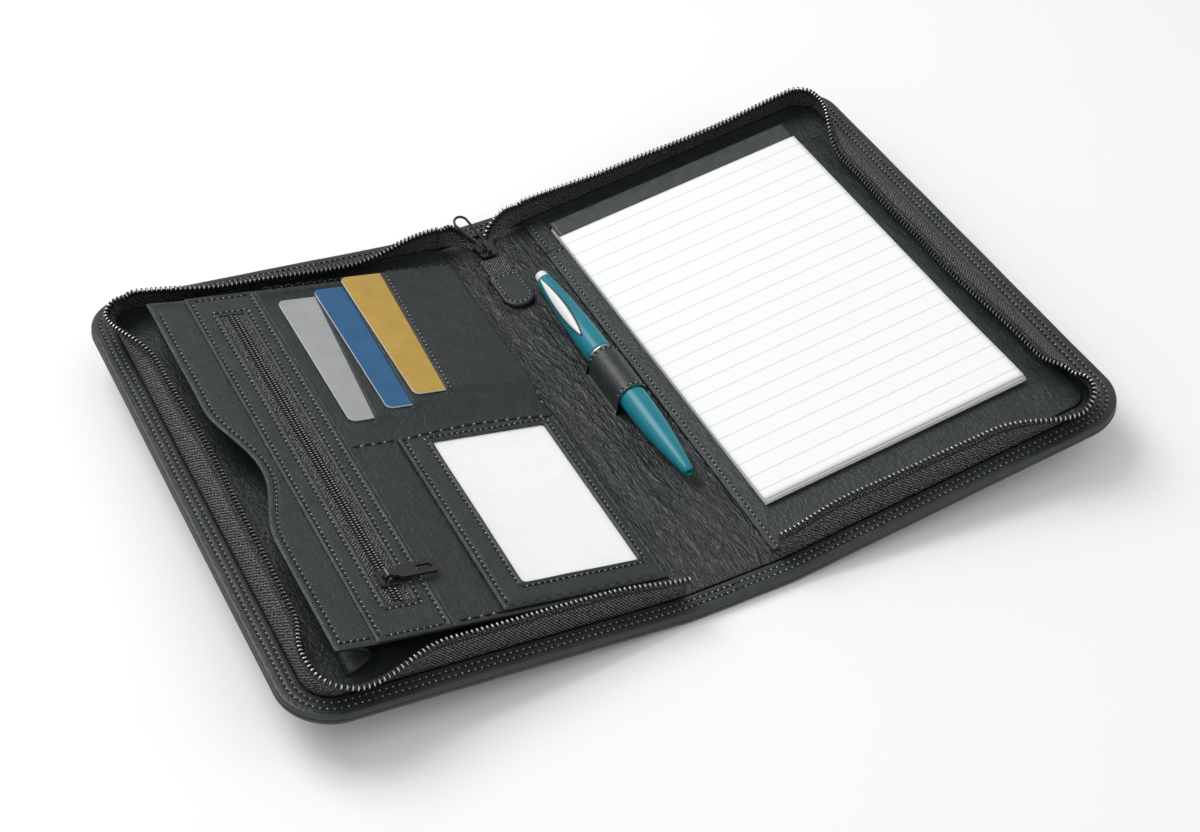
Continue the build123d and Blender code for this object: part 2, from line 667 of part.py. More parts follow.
def pocket_zip(wall_top, panel_top):
    """Closed zip of the pocket: two tape strips, meshing teeth, slider and pull."""
    low = wall_top + LAYER_GAP / 2
    half_window = ZIP_WINDOW_WIDTH / 2 - LAYER_GAP
    half_chain = CHAIN_WIDTH / 2
    front = ZIP_WINDOW_FRONT + LAYER_GAP
    back = ZIP_WINDOW_BACK - LAYER_GAP
    strips = []
    for near, far in ((half_chain + LAYER_GAP, half_window), (-half_window, -half_chain - LAYER_GAP)):
        strip = rectangle(near - ZIP_LINE, far - ZIP_LINE, front + CHAIN_END, back - CHAIN_END)
        strips.append(sheet(strip, low, low + PANEL_LEATHER / 2))
    teeth = []
    count = int((back - front - 2 * CHAIN_END) / POCKET_PITCH)
    tooth_top = panel_top - LAYER_GAP / 2
    for index in range(count):
        y = front + CHAIN_END + index * POCKET_PITCH
        between = y + POCKET_PITCH / 2
        left_tooth = rectangle(-half_chain, CHAIN_OVERLAP / 2, y, y + POCKET_TOOTH)
        right_tooth = rectangle(-CHAIN_OVERLAP / 2, half_chain, between, between + POCKET_TOOTH)
        teeth.append(Pos(-ZIP_LINE) * sheet(left_tooth, low, tooth_top))
        teeth.append(Pos(-ZIP_LINE) * sheet(right_tooth, low, tooth_top))
    seat = Pos(-ZIP_LINE, POCKET_SLIDER_Y, panel_top + LAYER_GAP)
    return {
        "pocket_zip_tapes": Compound(children=strips),
        "pocket_zip_teeth": Compound(children=teeth),
        "pocket_zip_slider": seat * pocket_slider(),
        "pocket_zip_pull": seat * pocket_pull(),
    }


def pocket_slider():
    """Small slider: a rounded plate with two ears and a cross bar for the pull's eye."""
    plate = RectangleRounded(POCKET_SLIDER_WIDTH, POCKET_SLIDER_LENGTH, POCKET_SLIDER_CORNER)
    body = sheet(plate, 0, POCKET_SLIDER_PLATE)
    ear = sheet(Rectangle(3 * POCKET_BAR, EAR_THICKNESS), 0, POCKET_BAR_HEIGHT)
    bar = Rot(90, 0, 0) * Cylinder(POCKET_BAR, EAR_SPAN + EAR_THICKNESS)
    ears = Pos(0, -EAR_SPAN / 2) * ear + Pos(0, EAR_SPAN / 2) * ear
    return body + ears + Pos(0, 0, POCKET_BAR_HEIGHT) * bar


def pocket_pull():
    """Flat pull with an eye round the slider's bar and an oval finger hole near its end."""
    half = POCKET_PULL_WIDTH / 2
    half_neck = POCKET_NECK_WIDTH / 2
    bore = POCKET_BAR + POCKET_BAR_CLEARANCE
    neck = rectangle((bore + POCKET_EYE) / 2, 2 * POCKET_EYE, -half_neck, half_neck)
    blade = rectangle(2 * POCKET_EYE - LAYER_GAP, POCKET_PULL_LENGTH, -half, half, 0.75 * half)
    hole = Pos(POCKET_PULL_LENGTH - PULL_HOLE_END) * SlotOverall(PULL_HOLE_LENGTH, PULL_HOLE_WIDTH)
    plate = extrude(neck + blade - hole, amount=POCKET_PULL_THICKNESS / 2, both=True)
    eye = Cylinder(POCKET_EYE, POCKET_NECK_WIDTH) - Cylinder(bore, POCKET_NECK_WIDTH)
    return Pos(0, 0, POCKET_BAR_HEIGHT) * (plate + Rot(90, 0, 0) * eye)


def window_pocket(panel_top):
    """Leather frame with hems on three sides, its clear film, and the blank card behind it."""
    frame_front = ORGANIZER_FRONT + WINDOW_HEM / 2
    outer = rectangle(-WINDOW_POCKET_LEFT, -ORGANIZER_SEAM, frame_front, WINDOW_POCKET_BACK)
    inner = rectangle(-WINDOW_POCKET_LEFT, -ORGANIZER_SEAM - WINDOW_HEM, frame_front + WINDOW_HEM,
                      WINDOW_POCKET_BACK - WINDOW_HEM)
    window = rectangle(-WINDOW_LEFT, -WINDOW_RIGHT, WINDOW_FRONT, WINDOW_BACK, WINDOW_CORNER)
    card_low = panel_top + LAYER_GAP
    film_low = card_low + BLANK_CARD + LAYER_GAP
    frame_low = film_low + FILM + LAYER_GAP
    frame = sheet(outer - window, frame_low, frame_low + PANEL_LEATHER)
    frame += sheet(outer - inner, panel_top, frame_low)
    margin = BLANK_CARD_MARGIN
    card = rectangle(-WINDOW_LEFT - margin, -WINDOW_RIGHT + margin,
                     WINDOW_FRONT - margin, WINDOW_BACK + margin)
    film = rectangle(-WINDOW_LEFT - 2 * margin, -WINDOW_RIGHT + 2 * margin,
                     WINDOW_FRONT - 2 * margin, WINDOW_BACK + 2 * margin)
    return {
        "window_pocket_frame": frame,
        "window_film": sheet(film, film_low, film_low + FILM),
        "blank_card": sheet(card, card_low, card_low + BLANK_CARD),
    }


def pad_parts():
    """Pad pocket of the right cover, and the ruled pad whose backing board slides into it."""
    board_low = LAYER_GAP
    board_top = board_low + PAD_BOARD
    wall_low = board_top + 2 * LAYER_GAP
    wall_top = wall_low + PAD_POCKET_WALL
    sheets_low = wall_top + LAYER_GAP
    sheets_top = sheets_low + PAD_SHEETS
    page_top = sheets_top + TOP_SHEET
    right = PAD_LEFT + PAD_WIDTH
    front = PAD_FRONT_MARGIN - HALF_HEIGHT
    back = front + PAD_LENGTH
    header = back - BINDING_HEIGHT
    pocket = cover_outline(PAD_POCKET_INSET) & rectangle(0, COVER_WIDTH, -HALF_HEIGHT, back - PAD_HEAD_OUT)
    hollow = rectangle(PAD_LEFT - PAD_CLEARANCE, right + PAD_CLEARANCE, front - PAD_CLEARANCE, back)
    page = rectangle(PAD_LEFT, right, front, back)
    head = rectangle(PAD_LEFT, right, header, back)
    spine = rectangle(PAD_LEFT, right, back, back + BINDING_PAPER)
    top_page = rectangle(PAD_LEFT, right, front, header - 2 * LAYER_GAP)
    binding = sheet(head + spine, page_top, page_top + BINDING_PAPER) + sheet(spine, board_low, page_top)
    shapes = {
        "pad_pocket_panel": sheet(pocket, LINER_TOP, wall_top) - sheet(hollow, LINER_TOP, wall_low),
        "pad_backing_board": sheet(page, board_low, board_top),
        "pad_sheets": sheet(page, sheets_low, sheets_top) + sheet(head, board_top, page_top),
        "pad_top_sheet": sheet(top_page, sheets_top, page_top),
        "pad_binding_strip": binding,
    }
    return {name: RIGHT_COVER * shape for name, shape in shapes.items()}


def turned(points):
    """Solid of revolution about the pen's axis from (radius, distance) lines."""
    return revolve(make_face(Polyline(*points, close=True)), Axis.Y)


def swelling(start, end, start_radius, end_radius):
    """Points of a curve that leaves its end along the pen's axis and falls to its start by a square law."""
    points = []
    for step in range(PEN_FACETS + 1):
        left = 1 - step / PEN_FACETS
        radius = end_radius - (end_radius - start_radius) * left**2
        points.append((radius, end + (start - end) * left))
    return points


def pen_barrels():
    """Hollow lower barrel with a tapered nose, and upper barrel with the clip's boss."""
    lower = turned([
        *swelling(0, PEN_SWELL, PEN_NOSE_RADIUS, PEN_RADIUS),
        (PEN_RADIUS, PEN_SPLIT),
        (PEN_BORE, PEN_SPLIT),
        (PEN_BORE, SPRING_TOP - 2 * SPRING_WIRE),
        (NOSE_BORE, NOSE_LENGTH),
        (NOSE_BORE, 0),
    ])
    start = PEN_SPLIT + PEN_RING + 2 * LAYER_GAP
    upper = turned([
        *swelling(PEN_LENGTH, start, PEN_TOP_RADIUS, PEN_RADIUS),
        (PEN_BORE, start),
        (PEN_BORE, STEM_START - BORE_SHOULDER / 3),
        (BUTTON_BORE, STEM_START + 2 * BORE_SHOULDER / 3),
        (BUTTON_BORE, PEN_LENGTH),
    ])
    boss = sheet(Rectangle(BOSS_WIDTH, BOSS_LENGTH), BOSS_ROOT, CLIP_HIGH - LAYER_GAP)
    boss_y = CLIP_START + CLIP_LENGTH - BOSS_SETBACK
    return lower, upper + Rot(0, -CLIP_ROLL, 0) * Pos(0, boss_y) * boss


def pen_clip():
    """Leaf-shaped clip inlaid along the upper barrel."""
    belly = CLIP_BELLY * CLIP_LENGTH
    right = ThreePointArc((0, 0), (CLIP_WIDTH / 2, belly), (0, CLIP_LENGTH))
    left = ThreePointArc((0, CLIP_LENGTH), (-CLIP_WIDTH / 2, belly), (0, 0))
    leaf = extrude(make_face(right.edges() + left.edges()), amount=CLIP_THICKNESS)
    slope = math.degrees(math.atan2(CLIP_HIGH - CLIP_LOW, CLIP_LENGTH))
    return Rot(0, -CLIP_ROLL, 0) * Pos(0, CLIP_START, CLIP_LOW) * Rot(slope, 0, 0) * leaf


def pen_parts():
    """Retractable ballpoint pen lying in its loop."""
    lower, upper = pen_barrels()
    ring_low = PEN_SPLIT + LAYER_GAP
    ring_high = ring_low + PEN_RING
    ring_radius = PEN_RADIUS + RING_PROUD
    ring = turned([
        (PEN_BORE, ring_low),
        (ring_radius, ring_low),
        (ring_radius, ring_high),
        (PEN_BORE, ring_high),
    ])
    end = PEN_LENGTH + BUTTON_OUT
    button = turned([
        (0, STEM_START),
        (BUTTON_RADIUS, STEM_START),
        (BUTTON_RADIUS, end - BUTTON_DOME),
        (BUTTON_RADIUS - BUTTON_DOME, end),
        (0, end),
    ])
    refill = turned([
        (0, REFILL_START),
        (REFILL_POINT, REFILL_START),
        (REFILL_TIP, REFILL_START + REFILL_CONE),
        (REFILL_TIP, REFILL_STEP),
        (REFILL_NECK, REFILL_STEP + REFILL_CONE),
        (REFILL_NECK, SPRING_TOP),
        (REFILL_RADIUS, SPRING_TOP),
        (REFILL_RADIUS, STEM_START - LAYER_GAP),
        (0, STEM_START - LAYER_GAP),
    ])
    shapes = {
        "pen_lower_barrel": lower,
        "pen_upper_barrel": upper,
        "pen_ring": ring,
        "pen_button": button,
        "pen_refill": refill,
        "pen_spring": pen_spring(),
        "pen_clip": pen_clip(),
    }
    nodes = {name: Pos(PEN_X, PEN_TIP_Y, PEN_Z) * shape for name, shape in shapes.items()}
    nodes["pen_loop"] = pen_loop()
    return nodes


def pen_spring():
    """Return spring round the refill's neck."""
    radius = REFILL_NECK + 2 * SPRING_WIRE
    height = SPRING_TOP - SPRING_BOTTOM - 2 * SPRING_WIRE
    coil = Helix(height / SPRING_TURNS, height, radius)
    section = Plane(origin=coil @ 0, z_dir=coil % 0) * RegularPolygon(SPRING_WIRE, 4)
    return Pos(0, SPRING_BOTTOM + SPRING_WIRE, 0) * Rot(-90, 0, 0) * sweep(section, path=coil)


def pen_loop():
    """Leather loop arched over the pen, with a flange sewn down on each side."""
    inner = PEN_RADIUS + LOOP_CLEARANCE
    outer = inner + LOOP_LEATHER
    drop = PEN_Z - LINING_TOP
    arch = Circle(outer) & rectangle(-outer, outer, 0, outer)
    arch += rectangle(-outer, outer, -drop, 0)
    arch += rectangle(-outer - LOOP_FLANGE, outer + LOOP_FLANGE, -drop, LOOP_LEATHER - drop)
    arch -= Circle(inner) + rectangle(-inner, inner, -drop, 0)
    place = Plane(origin=(PEN_X, PEN_TIP_Y + LOOP_START, PEN_Z), x_dir=(1, 0, 0), z_dir=(0, -1, 0))
    return extrude(place * arch, amount=-LOOP_LENGTH)


nodes = {}
nodes.update(cover_parts())
nodes.update(spine_parts())
nodes.update(throat_parts())
nodes.update(tail_parts())
nodes["main_zip_slider"] = main_slider()
nodes["main_zip_pull"] = main_pull()
nodes.update(organizer_parts())
nodes.update(pad_parts())
nodes.update(pen_parts())

os.makedirs("parts", exist_ok=True)
for name, shape in nodes.items():
    export_step(shape, f"parts/{name}.step")
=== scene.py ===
import math

import bmesh
import bpy
import numpy as np
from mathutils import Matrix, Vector


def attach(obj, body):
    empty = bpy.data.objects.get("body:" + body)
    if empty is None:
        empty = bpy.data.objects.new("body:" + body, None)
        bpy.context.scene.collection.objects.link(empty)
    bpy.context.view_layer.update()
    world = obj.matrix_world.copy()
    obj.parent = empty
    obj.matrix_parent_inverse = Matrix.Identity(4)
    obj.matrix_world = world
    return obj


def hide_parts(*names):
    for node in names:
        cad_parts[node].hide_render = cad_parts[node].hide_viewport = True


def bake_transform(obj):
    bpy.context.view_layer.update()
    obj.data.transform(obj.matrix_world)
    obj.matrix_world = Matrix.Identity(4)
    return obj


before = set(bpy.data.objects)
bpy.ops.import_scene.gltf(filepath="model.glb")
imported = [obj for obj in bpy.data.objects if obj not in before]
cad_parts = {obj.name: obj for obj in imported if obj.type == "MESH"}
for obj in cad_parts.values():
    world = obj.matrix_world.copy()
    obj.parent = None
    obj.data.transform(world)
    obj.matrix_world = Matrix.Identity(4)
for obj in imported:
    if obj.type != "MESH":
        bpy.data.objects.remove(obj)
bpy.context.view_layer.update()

MM = 0.001

# Sizes in millimetres, the main ones as the solids have them. A rectangle is (right, left, front, back) on
# the organizer, where u runs left from the fold line.
LAYER_GAP = 0.1

# Covers and spine
HALF_SPINE = 22.0
HINGE_Z = 5.0
OPEN_TILT = math.radians(7.5)
ORGANIZER_TILT = math.radians(13.0)
COVER_WIDTH = 168.0
HALF_HEIGHT = 132.5
CORNER_RADIUS = 22.0
COVER_THICKNESS = 5.0
BAND_ROWS = (7.2, 4.2)
BAND_STEP = 1.0
PANEL_STEP = 3.0
FOLD_REACH = 5.0
BAND_FLAT = (9.3, 1.6)
BAND_DIP = 0.22
BAND_CROWN = 0.18
BAND_PUCKER = 0.11
UNDERSIDE_INSET = 8.0
UNDERSIDE_CORE = COVER_WIDTH - 70.0
UNDERSIDE_ROWS = 12

# Spine lining and cover liners
LINING_TOP = 4.4
LINING_HALF_HEIGHT = HALF_HEIGHT - 11.1
LINING_OVERLAP = 6.0
LINING_LOW = -1.5
LINING_BASE = -0.75
LINING_CALM = 7.0
CRINKLE_SLANT = 0.16
CRINKLE_ROOM = 1.4
CRINKLE_EASE = 2.5
LINER_INSET = 10.9
LINER_LOW = -1.55
LINER_TOP = -0.2

# Main zip
TAPE_INSET = 10.45
TAPE_WIDTH = 14.0
TAPE_THICKNESS = 0.6
TAPE_ROWS = 12
TAPE_STEP = 1.05
TAPE_MAP_GAP = 2.0
THROAT_EDGE = HALF_SPINE - 0.6
THROAT_STEPS = 34
THROAT_BELLY = 1.2
CORD_RADIUS = 0.42
CORD_OFFSET = 0.45
TOOTH_PITCH = 2.1
TOOTH_TRIM = 1.0
TOOTH_REACH = 0.95
TOOTH_RISE = 1.0
TOOTH_SEAT = 0.35
TOOTH_RADIUS = 0.62

# Lean of each tape in degrees at the stations of tape_leans, inwards where it is positive
RIGHT_LEANS = (1.0, 12.0, 6.0, -35.0, 29.0, 51.0, 62.0, 57.0, 10.0, 15.0, 24.0, 19.0, 10.0)
LEFT_LEANS = (-14.0, 0.0, -1.0, -37.0, 2.0, 21.0, 28.0, 19.0, -24.0, 18.0, 39.0, 46.0, 12.0)

# Organizer with its document pocket and zip pocket
ORGANIZER_LEFT = COVER_WIDTH - 21.0
ORGANIZER_RIGHT = 2.0
ORGANIZER_FRONT = 17.8 - HALF_HEIGHT
ORGANIZER_BACK = HALF_HEIGHT - 28.2
WALL_LOW = 0.6
WALL_TOP = WALL_LOW + 0.6
PANEL_LEATHER_THICKNESS = 0.7
PANEL_TOP = WALL_TOP + PANEL_LEATHER_THICKNESS
ZIP_PANEL_LEFT = ORGANIZER_LEFT - 17.0
ZIP_PANEL_RIGHT = ZIP_PANEL_LEFT - 32.0
ZIP_LINE = ZIP_PANEL_LEFT - 16.9
ZIP_WINDOW = (ZIP_LINE - 5.6, ZIP_LINE + 5.6, ORGANIZER_FRONT + 18.0, ORGANIZER_BACK - 15.0)
SCOOP_MIDDLE = -11.0
SCOOP_HALF = 42.0
SCOOP_DEPTH = 10.0
POCKET_TAPE_LAP = 1.0
COIL_PITCH = 1.5
COIL_RADIUS = 0.62
COIL_TURN = 0.52
COIL_HEIGHT = WALL_TOP + 0.6
GUSSET_SEAM = ORGANIZER_LEFT - 6.0
GUSSET_FOLD = 9.0
GUSSET_THICKNESS = 0.6
GUSSET_FRONT = ORGANIZER_FRONT + 26.0
GUSSET_BACK = ORGANIZER_BACK - 12.0

# Cards and their slots
CARD_LENGTH = 85.6
CARD_WIDTH = 54.0
CARD_THICKNESS = 0.76
CARD_CORNER = 3.2
CARD_NAMES = ("grey_card", "blue_card", "gold_card")
CARD_LEFTS = (90.75, 72.8, 58.5)
CARD_BACKS = (ORGANIZER_BACK - 10.5, ORGANIZER_BACK - 7.7, ORGANIZER_BACK - 3.2)
LEAF_THICKNESS = 0.6
CARD_STEP = CARD_THICKNESS + LEAF_THICKNESS + 2 * LAYER_GAP
CARD_LOWS = tuple(PANEL_TOP + LAYER_GAP + number * CARD_STEP for number in range(3))
SLOT_LEFTS = (76.2, 59.8, 41.2)
SLOT_SLANTS = (3.75, 1.5, 2.75)
LEAF_TOPS = tuple(low + CARD_THICKNESS + LAYER_GAP + LEAF_THICKNESS for low in CARD_LOWS)
LEAF_EDGE = 0.5

# Window pocket
WINDOW_POCKET_BACK = -4.0
WINDOW_POCKET = (ORGANIZER_RIGHT, 76.0, ORGANIZER_FRONT + 2.0, WINDOW_POCKET_BACK)
WINDOW = (10.0, 62.5, ORGANIZER_FRONT + 14.0, WINDOW_POCKET_BACK - 8.7)
WINDOW_ARCH = 2.8
BLANK_LAP = 1.5
BLANK_LOW = PANEL_TOP + LAYER_GAP
BLANK_THICKNESS = 0.4
FILM_LAP = 3.0
FILM_LOW = BLANK_LOW + BLANK_THICKNESS + LAYER_GAP
FILM_TOP = FILM_LOW + 0.2
WINDOW_FRAME_TOP = FILM_TOP + LAYER_GAP + PANEL_LEATHER_THICKNESS
BACKING_BACK = WINDOW_POCKET_BACK - 0.9

# Writing pad and its pocket
PAD_WIDTH = 127.0
PAD_LENGTH = 203.2
PAD_LEFT = 9.0
PAD_RIGHT = PAD_LEFT + PAD_WIDTH
PAD_BACK = 107.9
PAD_FRONT = PAD_BACK - PAD_LENGTH
PAD_HEADER = PAD_BACK - 11.0
PAD_POCKET_BACK = 94.3
PAD_POCKET_INSET = 14.6
PAD_POCKET_LOW = -0.1
PAD_POCKET_TOP = 1.8
PAD_SHEETS_LOW = PAD_POCKET_TOP + LAYER_GAP
PAD_SHEETS_TOP = PAD_SHEETS_LOW + 2.7
PAGE_TOP = PAD_SHEETS_TOP + 0.3
BINDING_THICKNESS = 0.3
BINDING_TOP = PAGE_TOP + BINDING_THICKNESS
BINDING_ROLL = 1.15
RULE_SPACING = 8.6
SHEET_SPREAD = ((0.35, 0.5), (0.9, -0.3), (0.1, 0.25), (1.3, 0.6), (0.6, -0.1), (1.0, 0.35), (0.2, 0.1))
SHEET_CURL = 70.0
SHEET_CORNER = 60.0
PAGE_HINGE = 72.0
PAGE_BEND = 82.0
PAD_SEAM = 2.4
PAD_SEAM_BACK = 92.0
PAD_SEAM_FRONT = -118.0
HEAD_FLAP_TOP = 0.9
HEAD_FLAP_BACK = 118.5

# Pen and its loop
PEN_X = 10.2
PEN_Z = 11.2
PEN_TIP_Y = -67.5
PEN_LENGTH = 139.0
PEN_RADIUS = 6.2
PEN_SPLIT = 80.0
PEN_SWELL = 50.0
PEN_BORE = 4.4
NOSE_BORE = 1.3
RING_WIDTH = 1.4
RING_HALF = 0.58
BUTTON_RADIUS = 2.9
BUTTON_DOME = 1.4
BUTTON_END = PEN_LENGTH + 4.6
BUTTON_START = PEN_LENGTH - 20
CLIP_START = 92.5
CLIP_LENGTH = 44.0
CLIP_WIDTH = 4.4
CLIP_LOW = 7.0
CLIP_HIGH = 5.0
CLIP_THICKNESS = 1.2
CLIP_ROLL = math.radians(40.0)
LOOP_START = -16.6
LOOP_END = LOOP_START + 29.0
LOOP_OUTER = PEN_RADIUS + 1.0
LOOP_INNER = PEN_RADIUS + 0.3
LOOP_ROWS = 22
LOOP_SEAM = 11.0

# Slider, tail, tab and pull of the main zip
SLIDER_X = -2.5
SLIDER_Y = 108.0
TAB_BACK = 89.5
TAB_LENGTH = 24.0
TAB_WIDTH = 15.0
TAB_LOW = 0.1
TAB_TOP = 2.6
TAB_SEAM = 2.0
TAIL_WIDTH = 12.0
TAIL_LOW = LINING_TOP + 1.1
TAIL_TOP = TAIL_LOW + 0.6
PULL_WIRE = 0.6
PULL_HALF = 4.0 - PULL_WIRE
PULL_LENGTH = 21.0
PULL_EYE = 1.4
PULL_PIVOT = (SLIDER_X, SLIDER_Y - 0.6, 9.3)
PULL_TURN = math.radians(23.0)
PULL_RISE = math.radians(22.0)

# Sewing, hems and ripples
MOUTH_SEAM = 3.6
PANEL_SEAM = 2.4
STITCH_PITCH = 2.7
STITCH_LENGTH = 2.1
STITCH_WIDTH = 0.85
STITCH_SLANT = math.radians(7.0)
# Size of the pale ovals between stitches, which are painted glints of the thread
GLINT_WIDTH = 0.6
GLINT_LAP = 0.1
GLINT_FLATNESS = 0.6
STITCH_BLUNT = 0.7
STITCH_STAND = 0.12
STITCH_SINK = 0.55
BOLD_PITCH = 5.2
BOLD_LENGTH = 4.1
BOLD_WIDTH = 1.15
RIPPLE_WAVES = 7
RIPPLE_GAIN = 1.6
CORE_KEEP = 0.35
MERGE_METRES = 1e-7
HEM_BEAD = 0.42
HEM_GROOVE = 0.3
HEM_SHARES = (0.2, 0.35, 0.5, 0.65, 0.8, 0.9, 1.0, 1.1, 1.25, 1.45)


# Meshes
def grid_faces(rows, columns, close_rows=False, close_columns=False):
    """Corner numbers of a grid's faces, with the last row or column joined to the first where it closes."""
    row, column = np.meshgrid(
        np.arange(rows if close_rows else rows - 1),
        np.arange(columns if close_columns else columns - 1),
        indexing="ij",
    )
    next_row = (row + 1) % rows
    next_column = (column + 1) % columns
    corners = [
        row * columns + column,
        row * columns + next_column,
        next_row * columns + next_column,
        next_row * columns + column,
    ]
    return np.stack(corners, -1).reshape(-1, 4)


def add_piece(name, points, faces, uv=None, seal=False):
    """Smooth mesh piece from points in millimetres; doubles are merged and closed forms face outwards.
    A piece to seal has its open ends filled flat."""
    mesh = bpy.data.meshes.new(name)
    points = np.asarray(points, float).reshape(-1, 3)
    mesh.vertices.add(len(points))
    mesh.vertices.foreach_set("co", (points * MM).astype(np.float32).ravel())
    mesh.loops.add(faces.size)
    mesh.loops.foreach_set("vertex_index", faces.astype(np.int32).ravel())
    mesh.polygons.add(len(faces))
    mesh.polygons.foreach_set("loop_start", np.arange(0, faces.size, 4, dtype=np.int32))
    mesh.update(calc_edges=True)
    if uv is not None:
        layer = mesh.uv_layers.new(name="UVMap")
        layer.data.foreach_set("uv", np.asarray(uv, np.float32).reshape(-1, 2)[faces.ravel()].ravel())
    shell = bmesh.new()
    shell.from_mesh(mesh)
    bmesh.ops.remove_doubles(shell, verts=shell.verts, dist=MERGE_METRES)
    bmesh.ops.dissolve_degenerate(shell, edges=shell.edges, dist=MERGE_METRES)
    if seal:
        bmesh.ops.holes_fill(shell, edges=[edge for edge in shell.edges if edge.is_boundary])
    bmesh.ops.recalc_face_normals(shell, faces=shell.faces)
    shell.to_mesh(mesh)
    shell.free()
    mesh.polygons.foreach_set("use_smooth", np.ones(len(mesh.polygons), bool))
    mesh.update()
    piece = bpy.data.objects.new(name, mesh)
    bpy.context.scene.collection.objects.link(piece)
    return piece


def add_surface(name, points, close_rows=False, close_columns=False, uv=None, seal=False):
    """Piece from a grid of points, rows by columns."""
    rows, columns = points.shape[:2]
    return add_piece(name, points, grid_faces(rows, columns, close_rows, close_columns), uv, seal)


# Lines, swells and distances
def smooth_step(share):
    """Eased share from 0 to 1: three times its square less twice its cube."""
    share = np.clip(share, 0.0, 1.0)
    return share * share * (3 - 2 * share)


def ripples(x, y, size, seed):
    """Soft uneven swell of about -1 to 1: a sum of sine waves about one size long, in scattered
    directions."""
    chance = np.random.RandomState(seed)
    turns = chance.uniform(0, math.pi, RIPPLE_WAVES)
    stretches = chance.uniform(0.6, 1.7, RIPPLE_WAVES)
    phases = chance.uniform(0, 2 * math.pi, RIPPLE_WAVES)
    total = np.zeros(np.broadcast(x, y).shape)
    for turn, stretch, phase in zip(turns, stretches, phases):
        along = x * math.cos(turn) + y * math.sin(turn)
        total += np.sin(2 * math.pi * along / (size * stretch) + phase)
    return total / RIPPLE_WAVES * RIPPLE_GAIN


def full_turn(count):
    """Angles once round a circle, evenly spaced, without the last one, which is the first again."""
    return np.linspace(0, 2 * math.pi, count, endpoint=False)


def length_along(path):
    """Distance along a line of points from its first point, at each of them."""
    return np.concatenate([[0], np.cumsum(np.linalg.norm(np.diff(path, axis=0), axis=1))])


def unit(vectors):
    """Vectors of length 1."""
    return vectors / np.maximum(np.linalg.norm(vectors, axis=-1, keepdims=True), 1e-9)


def closed(loop):
    """Loop of points with its first point repeated at its end."""
    return np.concatenate([loop, loop[:1]])


def outside_box(x, y, left, right, front, back):
    """How far outside a rectangle a place is, along x or y, and less than 0 inside it."""
    return np.maximum(np.maximum(left - x, x - right), np.maximum(front - y, y - back))


# Places on the folio
def on_cover(u, y, h, side):
    """Points at distance u from the fold line, place y and height h over the hinge; the leather bends up
    from the spine to the cover in an arc of FOLD_REACH either way. Side 1 is the right cover, -1 the left."""
    u, y, h = np.broadcast_arrays(np.asarray(u, float), np.asarray(y, float), np.asarray(h, float))
    radius = 2 * FOLD_REACH / OPEN_TILT
    angle = np.clip((u + FOLD_REACH) / radius, 0, OPEN_TILT)
    past = np.maximum(u - FOLD_REACH, 0)
    before = np.minimum(u + FOLD_REACH, 0)
    x = HALF_SPINE - FOLD_REACH + before + radius * np.sin(angle) + past * math.cos(OPEN_TILT)
    z = HINGE_Z + radius * (1 - np.cos(angle)) + past * math.sin(OPEN_TILT)
    x = x - h * np.sin(angle)
    z = z + h * np.cos(angle)
    return np.stack([side * x, y, z], -1)


def on_right(u, y, h):
    """Points on the right cover."""
    return on_cover(u, y, h, 1)


def on_left(u, y, h):
    """Points on the left cover."""
    return on_cover(u, y, h, -1)


def on_spine(u, y, h):
    """Points on the spine's lining, with u along world x and h over the lining."""
    return np.stack(np.broadcast_arrays(u, y, LINING_TOP + np.asarray(h, float)), -1).astype(float)


def on_organizer(u, y, h):
    """Points of the organizer's tilted plane, with u to the left from the fold line."""
    u, y, h = np.broadcast_arrays(np.asarray(u, float), np.asarray(y, float), np.asarray(h, float))
    x = -HALF_SPINE - u * math.cos(ORGANIZER_TILT) + h * math.sin(ORGANIZER_TILT)
    z = HINGE_Z + u * math.sin(ORGANIZER_TILT) + h * math.cos(ORGANIZER_TILT)
    return np.stack([x, y, z], -1)


# Panels and tubes
def rounded_loop(u0, u1, y0, y1, radius, per_side, per_corner):
    """Points round a rectangle with rounded corners, as many on each side and corner of any such loop."""
    radius = max(radius, 0.01)
    turn = np.linspace(0, math.pi / 2, per_corner, endpoint=False)
    run = np.linspace(0, 1, per_side, endpoint=False)
    parts = []
    middles = [(u1 - radius, y0 + radius), (u1 - radius, y1 - radius),
               (u0 + radius, y1 - radius), (u0 + radius, y0 + radius)]
    for index, (middle_u, middle_y) in enumerate(middles):
        angle = turn + (index - 1) * math.pi / 2
        parts.append(np.stack([middle_u + radius * np.cos(angle), middle_y + radius * np.sin(angle)], -1))
        end = (index - 1) * math.pi / 2 + math.pi / 2
        start_point = np.array([middle_u + radius * math.cos(end), middle_y + radius * math.sin(end)])
        next_u, next_y = middles[(index + 1) % 4]
        end_point = np.array([next_u + radius * math.cos(end), next_y + radius * math.sin(end)])
        parts.append(start_point + (end_point - start_point) * run[:, None])
    return np.concatenate(parts)


def drawn_in(loop, distance):
    """Closed loop moved inwards by a distance, along the normals of its neighbours' chords."""
    chord = np.roll(loop, -1, 0) - np.roll(loop, 1, 0)
    normal = unit(np.stack([-chord[:, 1], chord[:, 0]], -1))
    area = np.sum(loop[:, 0] * np.roll(loop[:, 1], -1) - loop[:, 1] * np.roll(loop[:, 0], -1))
    return loop + normal * distance * (1 if area > 0 else -1)


def inset_loop(loop, distance):
    """Closed loop drawn in by a distance and kept in its box less that distance, so that corners stay
    whole."""
    return np.clip(drawn_in(loop, distance), loop.min(0) + distance, loop.max(0) - distance)


